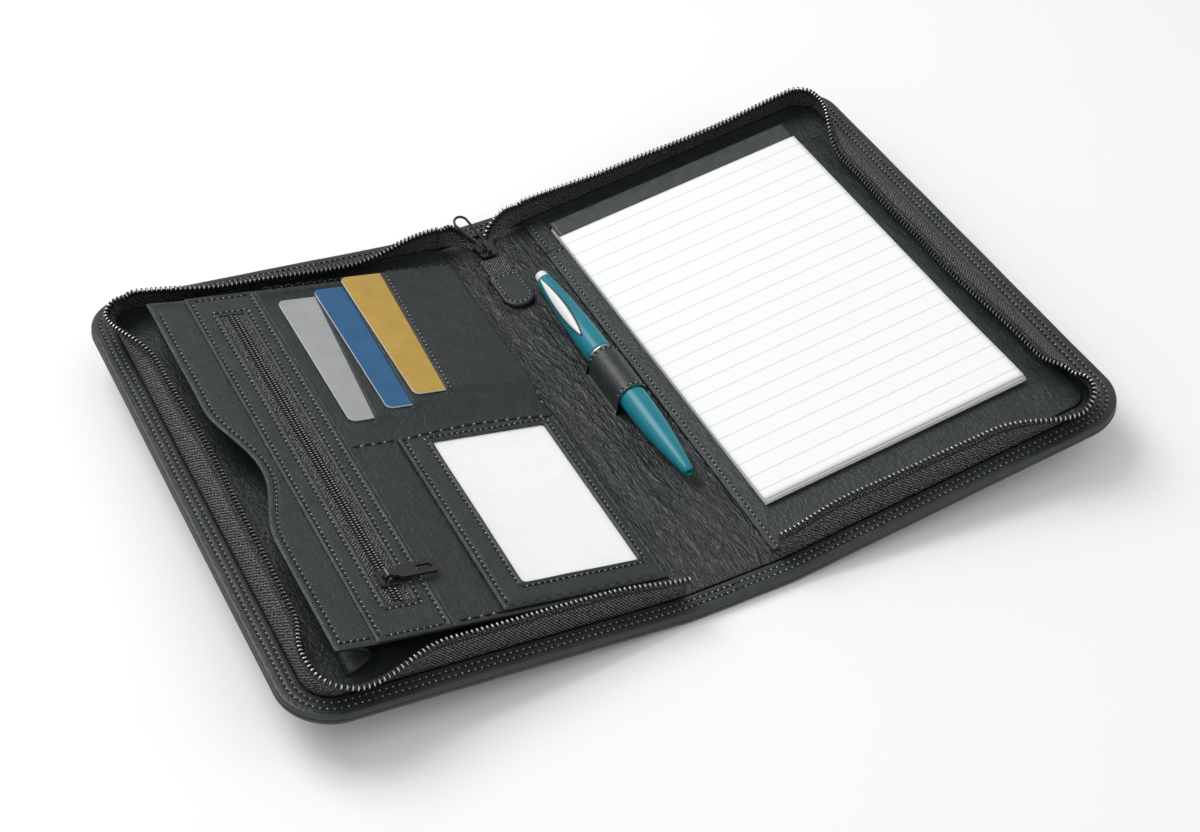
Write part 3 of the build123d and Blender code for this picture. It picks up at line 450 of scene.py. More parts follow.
def middle_line(loop):
    """Middle line that a loop's points run in to: its long axis, short of the ends by a share of its width.
    The points meet it at even stations that both sides share, so that a panel closes along it."""
    low, high = loop.min(0), loop.max(0)
    middle = (low + high) / 2
    half = (high - low) / 2
    long = int(half[1] > half[0])
    short = 1 - long
    room = max(half[long] - half[short], 0) + CORE_KEEP * half[short]
    widest_step = np.abs(np.diff(loop[:, long], append=loop[0, long])).max()
    stations = max(int(2 * room / widest_step), 1)
    along = np.clip((loop[:, long] - middle[long]) / (2 * room) + 0.5, 0, 1)
    core = np.empty_like(loop)
    core[:, short] = middle[short]
    core[:, long] = middle[long] + 2 * room * (np.round(along * stations) / stations - 0.5)
    return core


def hem(share):
    """Height added to a sewn panel between its edge, 0, and its seam, 1: a turned-in bead, then a groove."""
    bead = HEM_BEAD * math.exp(-((share - 0.4) / 0.28) ** 2)
    groove = HEM_GROOVE * math.exp(-((share - 1) / 0.14) ** 2)
    return bead - groove


def panel_rings(loop, low, high, lip, rows, seam=None):
    """Rings of a flat closed panel: its underside, a rolled edge of radius lip, a hem where it is sewn at a
    distance seam, then in over its top to a middle line. Each ring is (points, height)."""
    core = middle_line(loop)
    rings = [(core, low), (loop, low)]
    for angle in np.linspace(0, math.pi / 2, 5):
        rings.append((drawn_in(loop, lip * (1 - math.cos(angle))), high - lip + lip * math.sin(angle)))
    if seam is not None:
        rings += [(inset_loop(loop, seam * share), high + hem(share)) for share in HEM_SHARES]
    edge = rings[-1][0]
    for share in np.linspace(0, 1, rows + 1)[1:]:
        rings.append((edge + (core - edge) * share, high))
    return rings


def frame_rings(outer, inner, low, high, lip, rows, seam=None):
    """Rings of a flat panel with a hole: up the hole's rolled edge, across the top and down the outer edge,
    with hems at both edges where they are sewn at a distance seam."""
    rings = [(inner, low)]
    for angle in np.linspace(0, math.pi / 2, 4):
        rings.append((drawn_in(inner, -lip * (1 - math.cos(angle))), high - lip + lip * math.sin(angle)))
    shares = HEM_SHARES if seam else ()
    rings += [(drawn_in(inner, -seam * share), high + hem(share)) for share in shares]
    start = rings[-1][0]
    end = inset_loop(outer, seam * shares[-1] if seam else lip)
    for share in np.linspace(0, 1, rows + 1)[1:-1]:
        rings.append((start + (end - start) * share, high))
    rings += [(inset_loop(outer, seam * share), high + hem(share)) for share in shares[::-1]]
    for angle in np.linspace(math.pi / 2, 0, 4):
        rings.append((drawn_in(outer, lip * (1 - math.cos(angle))), high - lip + lip * math.sin(angle)))
    rings.append((outer, low))
    return rings


def add_panel(name, rings, place, swell=None, close_rings=False):
    """Panel piece from rings, put in place by one of the on_ functions; swell(u, y) adds to the top's
    height."""
    flat = np.stack([points for points, _ in rings])
    height = np.stack([np.full(len(points), h) for points, h in rings])
    if swell is not None:
        low = height.min()
        height = height + swell(flat[..., 0], flat[..., 1]) * (height > low + 1e-6)
    points = place(flat[..., 0], flat[..., 1], height)
    return add_surface(name, points, close_rows=close_rings, close_columns=True, uv=flat * MM)


def tube(name, path, radius, sides, ring_shaped=False):
    """Round tube: a circle of points carried along a path, square to it and turned by one fixed guide. It is
    closed at its ends, or joined to itself where it is ring-shaped."""
    path = np.asarray(path, float)
    tangent = np.gradient(path, axis=0)
    if ring_shaped:
        tangent = np.roll(path, -1, 0) - np.roll(path, 1, 0)
    tangent /= np.linalg.norm(tangent, axis=1, keepdims=True)
    upright = abs(tangent[:, 2]).max() >= 0.95
    guide = np.array([1.0, 0.0, 0.3]) if upright else np.array([0.0, 0.0, 1.0])
    side = np.cross(tangent, guide)
    side /= np.linalg.norm(side, axis=1, keepdims=True)
    up = np.cross(side, tangent)
    angle = full_turn(sides)[None, :, None]
    points = path[:, None] + radius * (np.cos(angle) * side[:, None] + np.sin(angle) * up[:, None])
    if not ring_shaped:
        start, end = (np.repeat(point[None, None], sides, 1) for point in (path[0], path[-1]))
        points = np.concatenate([start, points, end])
    return add_surface(name, points, close_rows=ring_shaped, close_columns=True)


# Stitches
def carried(marks, length, values):
    """Rows of values along a line, known at each length, at marks along it."""
    return np.stack([np.interp(marks, length, column) for column in values.T], -1)


def evenly(path, pitch):
    """Points and directions at an even pitch along a line of (u, y) points."""
    path = np.asarray(path, float)
    length = length_along(path)
    marks = np.arange(pitch / 2, length[-1], pitch)
    direction = carried(marks + 0.2, length, path) - carried(marks - 0.2, length, path)
    return carried(marks, length, path), direction / np.linalg.norm(direction, axis=1, keepdims=True)


def stitch_points(path, place, height, pitch=STITCH_PITCH, length=STITCH_LENGTH, width=STITCH_WIDTH):
    """Grid of points for each stitch along a line: a thread bent down at both ends, thick in the middle.
    Height is a number or a function of u and y."""
    centre, along = evenly(path, pitch)
    turn = np.array([[math.cos(STITCH_SLANT), -math.sin(STITCH_SLANT)],
                     [math.sin(STITCH_SLANT), math.cos(STITCH_SLANT)]])
    along = along @ turn.T
    across = np.stack([-along[:, 1], along[:, 0]], -1)
    share = np.linspace(-1, 1, 6)[None, :, None]
    angle = full_turn(6)[None, None, :]
    fat = np.sqrt(np.maximum(1 - share ** 2, 0)) ** STITCH_BLUNT
    offset_along = share * length / 2 + 0 * angle
    offset_across = np.cos(angle) * width / 2 * fat
    rise = np.sin(angle) * width / 2 * fat + STITCH_STAND * width - STITCH_SINK * width * share ** 4
    centre, along, across = (vectors[:, :, None, None] for vectors in (centre, along, across))
    u, y = (centre[:, k] + along[:, k] * offset_along + across[:, k] * offset_across for k in (0, 1))
    base = height(u, y) if callable(height) else height
    return place(u, y, base + rise)


def add_stitches(name, rows, crown=None):
    """Piece of many stitches from the point grids of its rows; crown maps each stitch's points."""
    grid = np.concatenate(rows)
    if crown is not None:
        crown = np.stack(np.broadcast_arrays(0.0, crown[None] + np.zeros(grid.shape[:3])), -1)
    count, length, around = grid.shape[:3]
    cell = grid_faces(length, around, close_columns=True)
    faces = (cell[None] + (np.arange(count) * length * around)[:, None, None]).reshape(-1, 4)
    return add_piece(name, grid, faces, uv=crown)


def painted_thread_glints(rows):
    """Point grids of the painted glints between the stitches of each row: small pale ovals where one stitch
    ends and the next one starts, a painted highlight of the thread where it dives."""
    knots = []
    for grid in rows:
        rise = grid[:, 2:4, 1:3].mean((1, 2)) - grid[:, 2:4, 4:6].mean((1, 2))
        height = np.linalg.norm(rise, axis=1, keepdims=True)
        up = (rise / height)[:-1]
        start, end = grid[:-1, -1].mean(1), grid[1:, 0].mean(1)
        gap = np.linalg.norm(end - start, axis=1, keepdims=True)
        along = (end - start) / np.maximum(gap, 1e-6)
        across = np.cross(up, along)
        middle = (start + end) / 2 + up * height[:-1] * 0.5
        share = np.linspace(-1, 1, 5)[None, :, None, None]
        angle = full_turn(6)[None, None, :, None]
        fat = GLINT_WIDTH / 2 * np.sqrt(np.maximum(1 - share ** 2, 0))
        reach = gap / 2 + GLINT_LAP
        middle, along, across, up, reach = (v[:, None, None] for v in (middle, along, across, up, reach))
        glint = middle + along * share * reach + across * fat * np.cos(angle)
        glint = glint + up * GLINT_FLATNESS * fat * np.sin(angle)
        knots.append(glint[gap[:, 0] < STITCH_PITCH])
    return knots


def line(*points, step=2.0):
    """Straight runs between (u, y) points, cut into short steps."""
    points = np.asarray(points, float)
    parts = [
        np.linspace(a, b, max(int(np.linalg.norm(b - a) / step), 2), endpoint=False)
        for a, b in zip(points, points[1:])
    ]
    return np.concatenate([*parts, points[-1:]])


# Shader groups that several finishes share
def new_group(name, inputs, outputs):
    """Empty shader group with named inputs and outputs, given as name: (kind, value)."""
    group = bpy.data.node_groups.new(name, "ShaderNodeTree")
    for label, (kind, value) in inputs.items():
        socket = group.interface.new_socket(label, in_out="INPUT", socket_type=kind)
        if value is not None:
            socket.default_value = value
    for label, kind in outputs.items():
        group.interface.new_socket(label, in_out="OUTPUT", socket_type=kind)
    return group, group.nodes.new("NodeGroupInput"), group.nodes.new("NodeGroupOutput")


def put(tree, kind, values=None, links=None, **settings):
    """Node of a kind, with settings, socket values and links into its sockets by name or number."""
    made = tree.nodes.new(kind)
    for key, value in settings.items():
        setattr(made, key, value)
    for key, value in (values or {}).items():
        made.inputs[key].default_value = value
    for key, socket in (links or {}).items():
        tree.links.new(socket, made.inputs[key])
    return made


def math_node(tree, operation, first, second=None):
    """Math node on sockets or numbers; returns its value."""
    made = tree.nodes.new("ShaderNodeMath")
    made.operation = operation
    for index, source in enumerate((first, second)):
        if isinstance(source, (int, float)):
            made.inputs[index].default_value = source
        elif source is not None:
            tree.links.new(source, made.inputs[index])
    return made.outputs[0]


def blend_values(tree, factor, low, high):
    """Value that goes from low to high as factor goes from 0 to 1."""
    made = put(tree, "ShaderNodeMapRange", {"To Min": low, "To Max": high}, {"Value": factor})
    return made.outputs["Result"]


def grain_group():
    """Leather grain: small pebbled cells with creases between them, and a slower mottle of tone."""
    group, source, sink = new_group(
        "leather_grain",
        {"Vector": ("NodeSocketVector", None), "Pebbles": ("NodeSocketFloat", 900.0),
         "Mottle": ("NodeSocketFloat", 160.0)},
        {"Height": "NodeSocketFloat", "Tone": "NodeSocketFloat"},
    )
    vector = source.outputs["Vector"]
    cells = put(group, "ShaderNodeTexVoronoi", {"Randomness": 0.9},
                {"Vector": vector, "Scale": source.outputs["Pebbles"]}, feature="SMOOTH_F1")
    fine = put(group, "ShaderNodeTexNoise", {"Detail": 3.0, "Roughness": 0.6, "Distortion": 2.5},
               {"Vector": vector, "Scale": source.outputs["Pebbles"]})
    slow = put(group, "ShaderNodeTexNoise", {"Detail": 4.0, "Roughness": 0.62},
               {"Vector": vector, "Scale": source.outputs["Mottle"]})
    pebbles = math_node(group, "MULTIPLY", cells.outputs["Distance"], 0.7)
    height = math_node(group, "ADD", pebbles, math_node(group, "MULTIPLY", fine.outputs[0], 0.6))
    height = math_node(group, "ADD", height, math_node(group, "MULTIPLY", slow.outputs[0], 0.9))
    group.links.new(height, sink.inputs["Height"])
    group.links.new(slow.outputs[0], sink.inputs["Tone"])
    return group


def crease_group():
    """Fine creases of soft thin leather: thin ridges where a warped noise, drawn out along the spine and
    turned a little, crosses its middle, in two sizes."""
    group, source, sink = new_group("leather_creases", {"Vector": ("NodeSocketVector", None)},
                                    {"Height": "NodeSocketFloat"})
    drawn = put(group, "ShaderNodeMapping",
                {"Rotation": (0, 0, math.radians(14.0)), "Scale": (1.0, 0.24, 1.0)},
                {"Vector": source.outputs["Vector"]})
    height = None
    for scale, depth in ((230.0, 1.0), (520.0, 0.55)):
        noise = put(group, "ShaderNodeTexNoise",
                    {"Scale": scale, "Detail": 2.0, "Roughness": 0.5, "Distortion": 1.1},
                    {"Vector": drawn.outputs["Vector"]})
        off = math_node(group, "ABSOLUTE", math_node(group, "SUBTRACT", noise.outputs[0], 0.5))
        ridge = put(group, "ShaderNodeMapRange", {"From Min": 0.13, "From Max": 0.0, "To Max": depth},
                    {"Value": off}).outputs["Result"]
        height = ridge if height is None else math_node(group, "ADD", height, ridge)
    group.links.new(height, sink.inputs["Height"])
    return group


def weave_group():
    """Woven tape: threads over and under each other, from a product of two fine waves, roughened by noise;
    its tone is lighter where the threads stand up, a painted highlight on the crossings.
    """
    group, source, sink = new_group(
        "tape_weave",
        {"Vector": ("NodeSocketVector", None), "Threads": ("NodeSocketFloat", 700.0)},
        {"Height": "NodeSocketFloat", "Tone": "NodeSocketFloat"},
    )
    stray = put(group, "ShaderNodeTexNoise", {"Scale": 420.0, "Detail": 2.0},
                {"Vector": source.outputs["Vector"]})
    parts = put(group, "ShaderNodeSeparateXYZ", links={"Vector": source.outputs["Vector"]})
    waves = []
    for axis in (0, 1):
        scaled = math_node(group, "MULTIPLY", parts.outputs[axis], source.outputs["Threads"])
        bent = math_node(group, "ADD", math_node(group, "MULTIPLY", scaled, 2 * math.pi),
                         math_node(group, "MULTIPLY", stray.outputs[0], 5.0))
        waves.append(math_node(group, "SINE", bent))
    product = math_node(group, "MULTIPLY", waves[0], waves[1])
    height = math_node(group, "ADD", math_node(group, "MULTIPLY", product, 0.5), 0.5)
    patch = put(group, "ShaderNodeTexNoise", {"Scale": 700.0, "Detail": 3.0, "Roughness": 0.7},
                {"Vector": source.outputs["Vector"]})
    raised = math_node(group, "MULTIPLY", height, math_node(group, "MULTIPLY", patch.outputs[0], 2.0))
    # Painted highlight: lighter where the weave stands up, in uneven patches
    tone = put(group, "ShaderNodeMapRange", {"From Min": 0.46, "From Max": 0.95},
               {"Value": raised}).outputs["Result"]
    group.links.new(height, sink.inputs["Height"])
    group.links.new(tone, sink.inputs["Tone"])
    return group


GRAIN = grain_group()
CREASES = crease_group()
WEAVE = weave_group()


# Finishes
def new_finish(name):
    """Material with an empty tree but for its shader and output; returns it, its tree and its shader."""
    material = bpy.data.materials.new(name)
    material.use_nodes = True
    tree = material.node_tree
    tree.nodes.clear()
    shader = put(tree, "ShaderNodeBsdfPrincipled")
    put(tree, "ShaderNodeOutputMaterial", links={"Surface": shader.outputs[0]})
    return material, tree, shader


def tint(tree, factor, dark, light):
    """Colour between two tones by a factor."""
    ramp = put(tree, "ShaderNodeValToRGB", links={"Fac": factor})
    ramp.color_ramp.elements[0].position = 0.3
    ramp.color_ramp.elements[1].position = 0.7
    ramp.color_ramp.elements[0].color = (*dark, 1)
    ramp.color_ramp.elements[1].color = (*light, 1)
    return ramp.outputs["Color"]


def roughen(tree, shader, height, strength, distance):
    """Bump from a height on the shader's normal; distance is in metres."""
    bump = put(tree, "ShaderNodeBump", {"Strength": strength, "Distance": distance}, {"Height": height})
    tree.links.new(bump.outputs["Normal"], shader.inputs["Normal"])


def leather_finish(name, dark, light, pebbles, bump, rough, creased):
    """Black grained leather with a satin sheen; creased is the share of fine creases, most where the leather
    is thin."""
    material, tree, shader = new_finish(name)
    place = put(tree, "ShaderNodeTexCoord")
    grain = put(tree, "ShaderNodeGroup", {"Pebbles": pebbles}, node_tree=GRAIN)
    tree.links.new(place.outputs["Object"], grain.inputs["Vector"])
    tree.links.new(tint(tree, grain.outputs["Tone"], dark, light), shader.inputs["Base Color"])
    tree.links.new(blend_values(tree, grain.outputs["Tone"], *rough), shader.inputs["Roughness"])
    shader.inputs["Specular IOR Level"].default_value = 0.45
    creases = put(tree, "ShaderNodeGroup", links={"Vector": place.outputs["Object"]}, node_tree=CREASES)
    pebbled = math_node(tree, "MULTIPLY", grain.outputs["Height"], 1 - 0.65 * creased)
    folded = math_node(tree, "MULTIPLY", creases.outputs["Height"], creased)
    roughen(tree, shader, math_node(tree, "ADD", pebbled, folded), bump, 0.00035)
    return material


def teeth_finish():
    """Black zip teeth whose crowns are painted bright metal, a painted highlight on each tooth's top; the
    piece's map tells the crown's share.
    """
    material, tree, shader = new_finish("zip_teeth")
    place = put(tree, "ShaderNodeTexCoord")
    crown = put(tree, "ShaderNodeSeparateXYZ", links={"Vector": place.outputs["UV"]}).outputs["Y"]
    # Painted highlight: the crown turns from black to bright metal, more on some teeth than on others
    crown_highlight = put(tree, "ShaderNodeMapRange", {"From Min": 0.6, "From Max": 0.92},
               {"Value": crown}).outputs["Result"]
    noise = put(tree, "ShaderNodeTexNoise", {"Scale": 420.0}, {"Vector": place.outputs["Object"]})
    crown_highlight = math_node(tree, "MULTIPLY", crown_highlight, blend_values(tree, noise.outputs[0], 0.35, 1.3))
    tree.links.new(tint(tree, crown_highlight, (0.008, 0.008, 0.009), (0.62, 0.62, 0.63)), shader.inputs["Base Color"])
    tree.links.new(crown_highlight, shader.inputs["Metallic"])
    shader.inputs["Roughness"].default_value = 0.22
    return material


def tape_finish(name, threads, dark, light):
    """Black woven zip tape that follows the piece's own map, with painted highlights on its raised threads.
    """
    material, tree, shader = new_finish(name)
    place = put(tree, "ShaderNodeTexCoord")
    weave = put(tree, "ShaderNodeGroup", {"Threads": threads}, node_tree=WEAVE)
    tree.links.new(place.outputs["UV"], weave.inputs["Vector"])
    tree.links.new(tint(tree, weave.outputs["Tone"], dark, light), shader.inputs["Base Color"])
    shader.inputs["Roughness"].default_value = 0.75
    roughen(tree, shader, weave.outputs["Height"], 0.9, 0.0005)
    return material


def plain_finish(name, colour, rough, metal=0.0, coat=0.0, spread=0.12, scale=400.0, bump=0.05):
    """Moulded, painted or polished finish with a slight change of tone and gloss over the surface."""
    material, tree, shader = new_finish(name)
    place = put(tree, "ShaderNodeTexCoord")
    noise = put(tree, "ShaderNodeTexNoise", {"Scale": scale, "Detail": 3.0},
                {"Vector": place.outputs["Object"]})
    dark = tuple(channel * (1 - spread) for channel in colour)
    light = tuple(min(channel * (1 + spread), 1.0) for channel in colour)
    tree.links.new(tint(tree, noise.outputs[0], dark, light), shader.inputs["Base Color"])
    gloss = blend_values(tree, noise.outputs[0], rough * 0.85, rough * 1.2)
    tree.links.new(gloss, shader.inputs["Roughness"])
    shader.inputs["Metallic"].default_value = metal
    shader.inputs["Coat Weight"].default_value = coat
    roughen(tree, shader, noise.outputs[0], bump, 0.0002)
    return material


def page_finish():
    """White writing paper with pale blue rules, placed by the sheet's own map in metres."""
    material, tree, shader = new_finish("ruled_paper")
    place = put(tree, "ShaderNodeTexCoord")
    parts = put(tree, "ShaderNodeSeparateXYZ", links={"Vector": place.outputs["UV"]})
    turns = math_node(tree, "DIVIDE", parts.outputs["Y"], RULE_SPACING * MM)
    share = math_node(tree, "FRACT", turns)
    off_line = math_node(tree, "ABSOLUTE", math_node(tree, "SUBTRACT", share, 0.5))
    rule = put(tree, "ShaderNodeMapRange", {"From Min": 0.045, "From Max": 0.015}, {"Value": off_line})
    fibre = put(tree, "ShaderNodeTexNoise", {"Scale": 2500.0, "Detail": 3.0}, {"Vector": place.outputs["UV"]})
    paper = tint(tree, fibre.outputs[0], (0.89, 0.895, 0.9), (0.94, 0.94, 0.945))
    ink = put(tree, "ShaderNodeMix", {7: (0.5, 0.63, 0.78, 1)}, {6: paper}, data_type="RGBA")
    tree.links.new(math_node(tree, "MULTIPLY", rule.outputs["Result"], 0.75), ink.inputs[0])
    tree.links.new(ink.outputs[2], shader.inputs["Base Color"])
    shader.inputs["Roughness"].default_value = 0.85
    shader.inputs["Specular IOR Level"].default_value = 0.2
    roughen(tree, shader, fibre.outputs[0], 0.08, 0.0001)
    return material


def film_finish():
    """Clear flexible film."""
    material, tree, shader = new_finish("clear_film")
    place = put(tree, "ShaderNodeTexCoord")
    haze = put(tree, "ShaderNodeTexNoise", {"Scale": 60.0, "Detail": 2.0},
               {"Vector": place.outputs["Object"]})
    tree.links.new(blend_values(tree, haze.outputs[0], 0.03, 0.1), shader.inputs["Alpha"])
    tree.links.new(blend_values(tree, haze.outputs[0], 0.08, 0.2), shader.inputs["Roughness"])
    shader.inputs["Base Color"].default_value = (0.9, 0.92, 0.93, 1)
    return material


COVER_LEATHER = leather_finish(
    "cover_leather", dark=(0.022, 0.026, 0.028), light=(0.034, 0.039, 0.041),
    pebbles=700.0, bump=0.5, rough=(0.28, 0.42), creased=0.12,
)
PANEL_LEATHER = leather_finish(
    "panel_leather", dark=(0.019, 0.024, 0.026), light=(0.03, 0.036, 0.038),
    pebbles=650.0, bump=1.0, rough=(0.28, 0.42), creased=0.15,
)
# The panel leather made darker for the card side and the window pocket's backing: painted shade, as that side
# lies in less light
SHADED_CARD_LEATHER = leather_finish(
    "shaded_card_leather", dark=(0.014, 0.018, 0.019), light=(0.024, 0.029, 0.031),
    pebbles=650.0, bump=1.0, rough=(0.28, 0.42), creased=0.22,
)
LINING_LEATHER = leather_finish(
    "lining_leather", dark=(0.012, 0.015, 0.016), light=(0.022, 0.026, 0.027),
    pebbles=600.0, bump=0.9, rough=(0.3, 0.42), creased=1.0,
)
TAPE_CLOTH = tape_finish("tape_cloth", threads=640.0, dark=(0.003, 0.003, 0.0032), light=(0.27, 0.275, 0.28))
THREAD = plain_finish("thread", (0.004, 0.004, 0.004), 0.5, spread=0.3, scale=900.0)
# Pale colour of the ovals between stitches: a painted highlight of the thread
THREAD_GLINT = plain_finish("painted_thread_glint", (0.42, 0.43, 0.435), 0.3, spread=0.5, scale=260.0)
ZIP_CORD = plain_finish("zip_cord", (0.012, 0.012, 0.013), 0.6, spread=0.3, scale=900.0)
TEETH = teeth_finish()
BLACK_METAL = plain_finish("black_metal", (0.012, 0.012, 0.013), 0.28, coat=0.3)
GREY_CARD = plain_finish("grey_card", (0.33, 0.34, 0.35), 0.38, spread=0.06, scale=120.0)
BLUE_CARD = plain_finish("blue_card", (0.018, 0.1, 0.225), 0.35, spread=0.08, scale=90.0)
GOLD_CARD = plain_finish("gold_card", (0.45, 0.285, 0.055), 0.36, spread=0.07, scale=150.0)
CARD_EDGE = plain_finish("card_edge", (0.85, 0.85, 0.85), 0.5, spread=0.03)
WHITE_CARD = plain_finish("white_card", (0.94, 0.94, 0.945), 0.6, spread=0.02)
RULED_PAPER = page_finish()
PAGE_EDGE = plain_finish("page_edge", (0.82, 0.82, 0.83), 0.85, spread=0.05, scale=1500.0)
BINDING = plain_finish("binding_paper", (0.046, 0.052, 0.053), 0.38, spread=0.2, scale=220.0, bump=0.12)
BOARD = plain_finish("black_board", (0.02, 0.02, 0.021), 0.9, spread=0.15)
PAD_BOARD = plain_finish("grey_board", (0.38, 0.34, 0.28), 0.9, spread=0.15)
TEAL = plain_finish("teal_barrel", (0.004, 0.2, 0.255), 0.3, spread=0.05, scale=200.0)
SILVER = plain_finish("silver", (0.82, 0.82, 0.83), 0.2, metal=1.0, spread=0.03)
WHITE_BUTTON = plain_finish("white_button", (0.8, 0.8, 0.81), 0.3, spread=0.03)
BRASS = plain_finish("refill_brass", (0.6, 0.42, 0.18), 0.3, metal=1.0)
STEEL = plain_finish("spring_steel", (0.55, 0.55, 0.57), 0.3, metal=1.0)
FILM = film_finish()


# Pieces in the frame
def dress(piece, finish, body=None, nodes=()):
    """Gives a piece its finish and the body it rides on, and hides the solids it stands for."""
    piece.data.materials.clear()
    piece.data.materials.append(finish)
    if nodes:
        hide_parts(*nodes)
    if body:
        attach(piece, body)
    return piece


def sew(name, rows, body=None):
    """Stitches of some rows and the pale ovals between them, painted glints of the thread; returns both
    pieces.
    """
    # The second piece holds the pale ovals between the stitches, painted glints of the thread
    return [dress(add_stitches(name, rows), THREAD, body),
            dress(add_stitches(f"{name}_knots", painted_thread_glints(rows)), THREAD_GLINT, body)]


def bend_at_fold(piece):
    """Bakes a piece's placement into its points."""
    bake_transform(piece)


def frame_point(point):
    """Point in the frame's metres from one in millimetres."""
    return Vector(point) * MM


def map_from_above(piece):
    """Gives a piece a map of its points' x and y, in metres."""
    mesh = piece.data
    place = np.empty(len(mesh.vertices) * 3, np.float32)
    mesh.vertices.foreach_get("co", place)
    corner = np.empty(len(mesh.loops), np.int32)
    mesh.loops.foreach_get("vertex_index", corner)
    layer = mesh.uv_layers.new(name="UVMap")
    layer.data.foreach_set("uv", place.reshape(-1, 3)[corner][:, :2].ravel())


# Covers with their edge bands
def cover_loop(inset, step):
    """Half of the folio's edge, drawn in by inset: from the middle of the spine's front along the front edge,
    round both corners of radius CORNER_RADIUS less inset, and back along the back edge."""
    radius = CORNER_RADIUS - inset
    far = COVER_WIDTH - CORNER_RADIUS
    end = HALF_HEIGHT - CORNER_RADIUS
    run = np.arange(-HALF_SPINE, far, step)
    turn = np.linspace(-math.pi / 2, 0, 16)
    side = np.arange(-end, end, step)[1:]
    front = np.stack([run, np.full_like(run, inset - HALF_HEIGHT)], -1)
    corner = np.stack([far + radius * np.cos(turn), -end + radius * np.sin(turn)], -1)
    long_side = np.stack([np.full_like(side, COVER_WIDTH - inset), side], -1)
    back_corner = corner[::-1] * (1, -1)
    back = front[::-1] * (1, -1)
    return np.concatenate([front, corner, long_side, back_corner, back])


def edge_profile():
    """Section of the folded edge as (inset, height): the band's inner fold, its flat with two sewn dips, the
    rolled rim with a groove between band and outer leather, and the start of the underside."""
    start, end = BAND_FLAT
    flat_in = np.linspace(start, end, 26)
    dips = sum(-BAND_DIP * np.exp(-((flat_in - row) / 0.55) ** 2) for row in BAND_ROWS)
    crown = BAND_CROWN * np.sin(np.pi * (flat_in - end) / (start - end))
    band = np.stack([flat_in, -0.1 + dips + crown], -1)
    inner = np.array([(10.0, -1.5), (10.05, -0.9), (9.85, -0.4), (9.6, -0.15)])
    roll = [(1.0, -0.22), (0.5, -0.52), (0.18, -0.98), (0.08, -1.5),
            (0.22, -2.0), (0.62, -2.32), (1.0, -2.45)]
    lower = [(0.62, -2.6), (0.2, -2.92), (0.04, -3.4), (0.08, -3.95),
             (0.36, -4.45), (0.85, -4.82), (1.6, -4.98)]
    under = [(3.0, -COVER_THICKNESS), (UNDERSIDE_INSET, -COVER_THICKNESS)]
    return np.concatenate([inner, band, roll, lower, under])


def band_puckers(loop, inset):
    """Small waves that the sewing draws across the band: one to a stitch, strongest between its two rows."""
    middle = sum(BAND_ROWS) / 2
    strength = BAND_PUCKER * math.exp(-((inset - middle) / 2.4) ** 2) if inset > 1.5 else 0.0
    uneven = 0.6 + 0.4 * ripples(loop[:, 0], loop[:, 1], size=30.0, seed=37)
    return strength * uneven * np.sin(2 * math.pi * length_along(loop) / STITCH_PITCH)


def cover_shell(side):
    """Outer leather, rim and edge band of one half: the edge's section carried round the cover, then the
    underside drawn in to the middle line, where front and back halves meet."""
    rings = []
    for inset, height in edge_profile():
        loop = cover_loop(inset, BAND_STEP)
        rings.append(on_cover(loop[:, 0], loop[:, 1], height + band_puckers(loop, inset), side))
    outline = cover_loop(UNDERSIDE_INSET, BAND_STEP)
    core = np.stack([np.minimum(outline[:, 0], UNDERSIDE_CORE), np.zeros(len(outline))], -1)
    for share in np.linspace(0, 1, UNDERSIDE_ROWS + 1)[1:]:
        ring = outline + (core - outline) * share
        rings.append(on_cover(ring[:, 0], ring[:, 1], -COVER_THICKNESS, side))
    points = np.stack(rings)
    soft = points[:-UNDERSIDE_ROWS - 2]
    soft[..., 2] += 0.12 * ripples(soft[..., 0], soft[..., 1], size=38.0, seed=5 + side)
    return points


for label, side in (("left", -1), ("right", 1)):
    shell = add_surface(f"{label}_cover_shell", cover_shell(side))
    dress(shell, COVER_LEATHER)
    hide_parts(f"{label}_outer_leather", f"{label}_edge_band")
    if side > 0:
        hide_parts("spine_outer_leather", "spine_edge_bands")
    bend_at_fold(shell)
    sewn = [
        stitch_points(cover_loop(row, BAND_STEP), lambda u, y, h, side=side: on_cover(u, y, h, side), -0.02)
        for row in BAND_ROWS
    ]
    for sewing in sew(f"{label}_band_stitches", sewn):
        bend_at_fold(sewing)


# Spine lining
def crinkles(x, y):
    """Height of the lining's folds: ridges where long uneven swells along the spine cross zero, in three
    sizes, drifting aslant, on a slow swell."""
    drift = x + CRINKLE_SLANT * y + 3.0 * ripples(x, y, size=60.0, seed=21)
    drift = drift + 0.9 * ripples(x, y, size=13.0, seed=22)
    total = 0.25 * ripples(x, y, size=34.0, seed=31)
    for size, depth, seed in ((14.0, 0.45, 24), (7.0, 0.24, 25), (3.6, 0.12, 26)):
        ridge = 1 - np.abs(np.clip(ripples(drift, CRINKLE_SLANT * y, size, seed), -1, 1))
        total = total + depth * ridge ** 4
    return total


def crinkle_room(x, y):
    """Height left for the crinkles below the pen, its loop, and the tab, tail and slider of the zip: it eases
    down from CRINKLE_ROOM to a lower height over each of them."""
    room = np.full(np.broadcast(x, y).shape, CRINKLE_ROOM)
    pen_end = PEN_TIP_Y + PEN_LENGTH + 5
    for low, middle, half, front, back in (
        (CRINKLE_ROOM - 0.65, PEN_X, 6, PEN_TIP_Y, pen_end),
        (0.12, PEN_X, 11, LOOP_START, LOOP_END),
        (0.2, SLIDER_X, 9, TAB_BACK - TAB_LENGTH, SLIDER_Y + 7),
    ):
        outside = outside_box(x, y, middle - half, middle + half, front, back)
        room = room - (room - low) * smooth_step(1 - outside / CRINKLE_EASE)
    return room


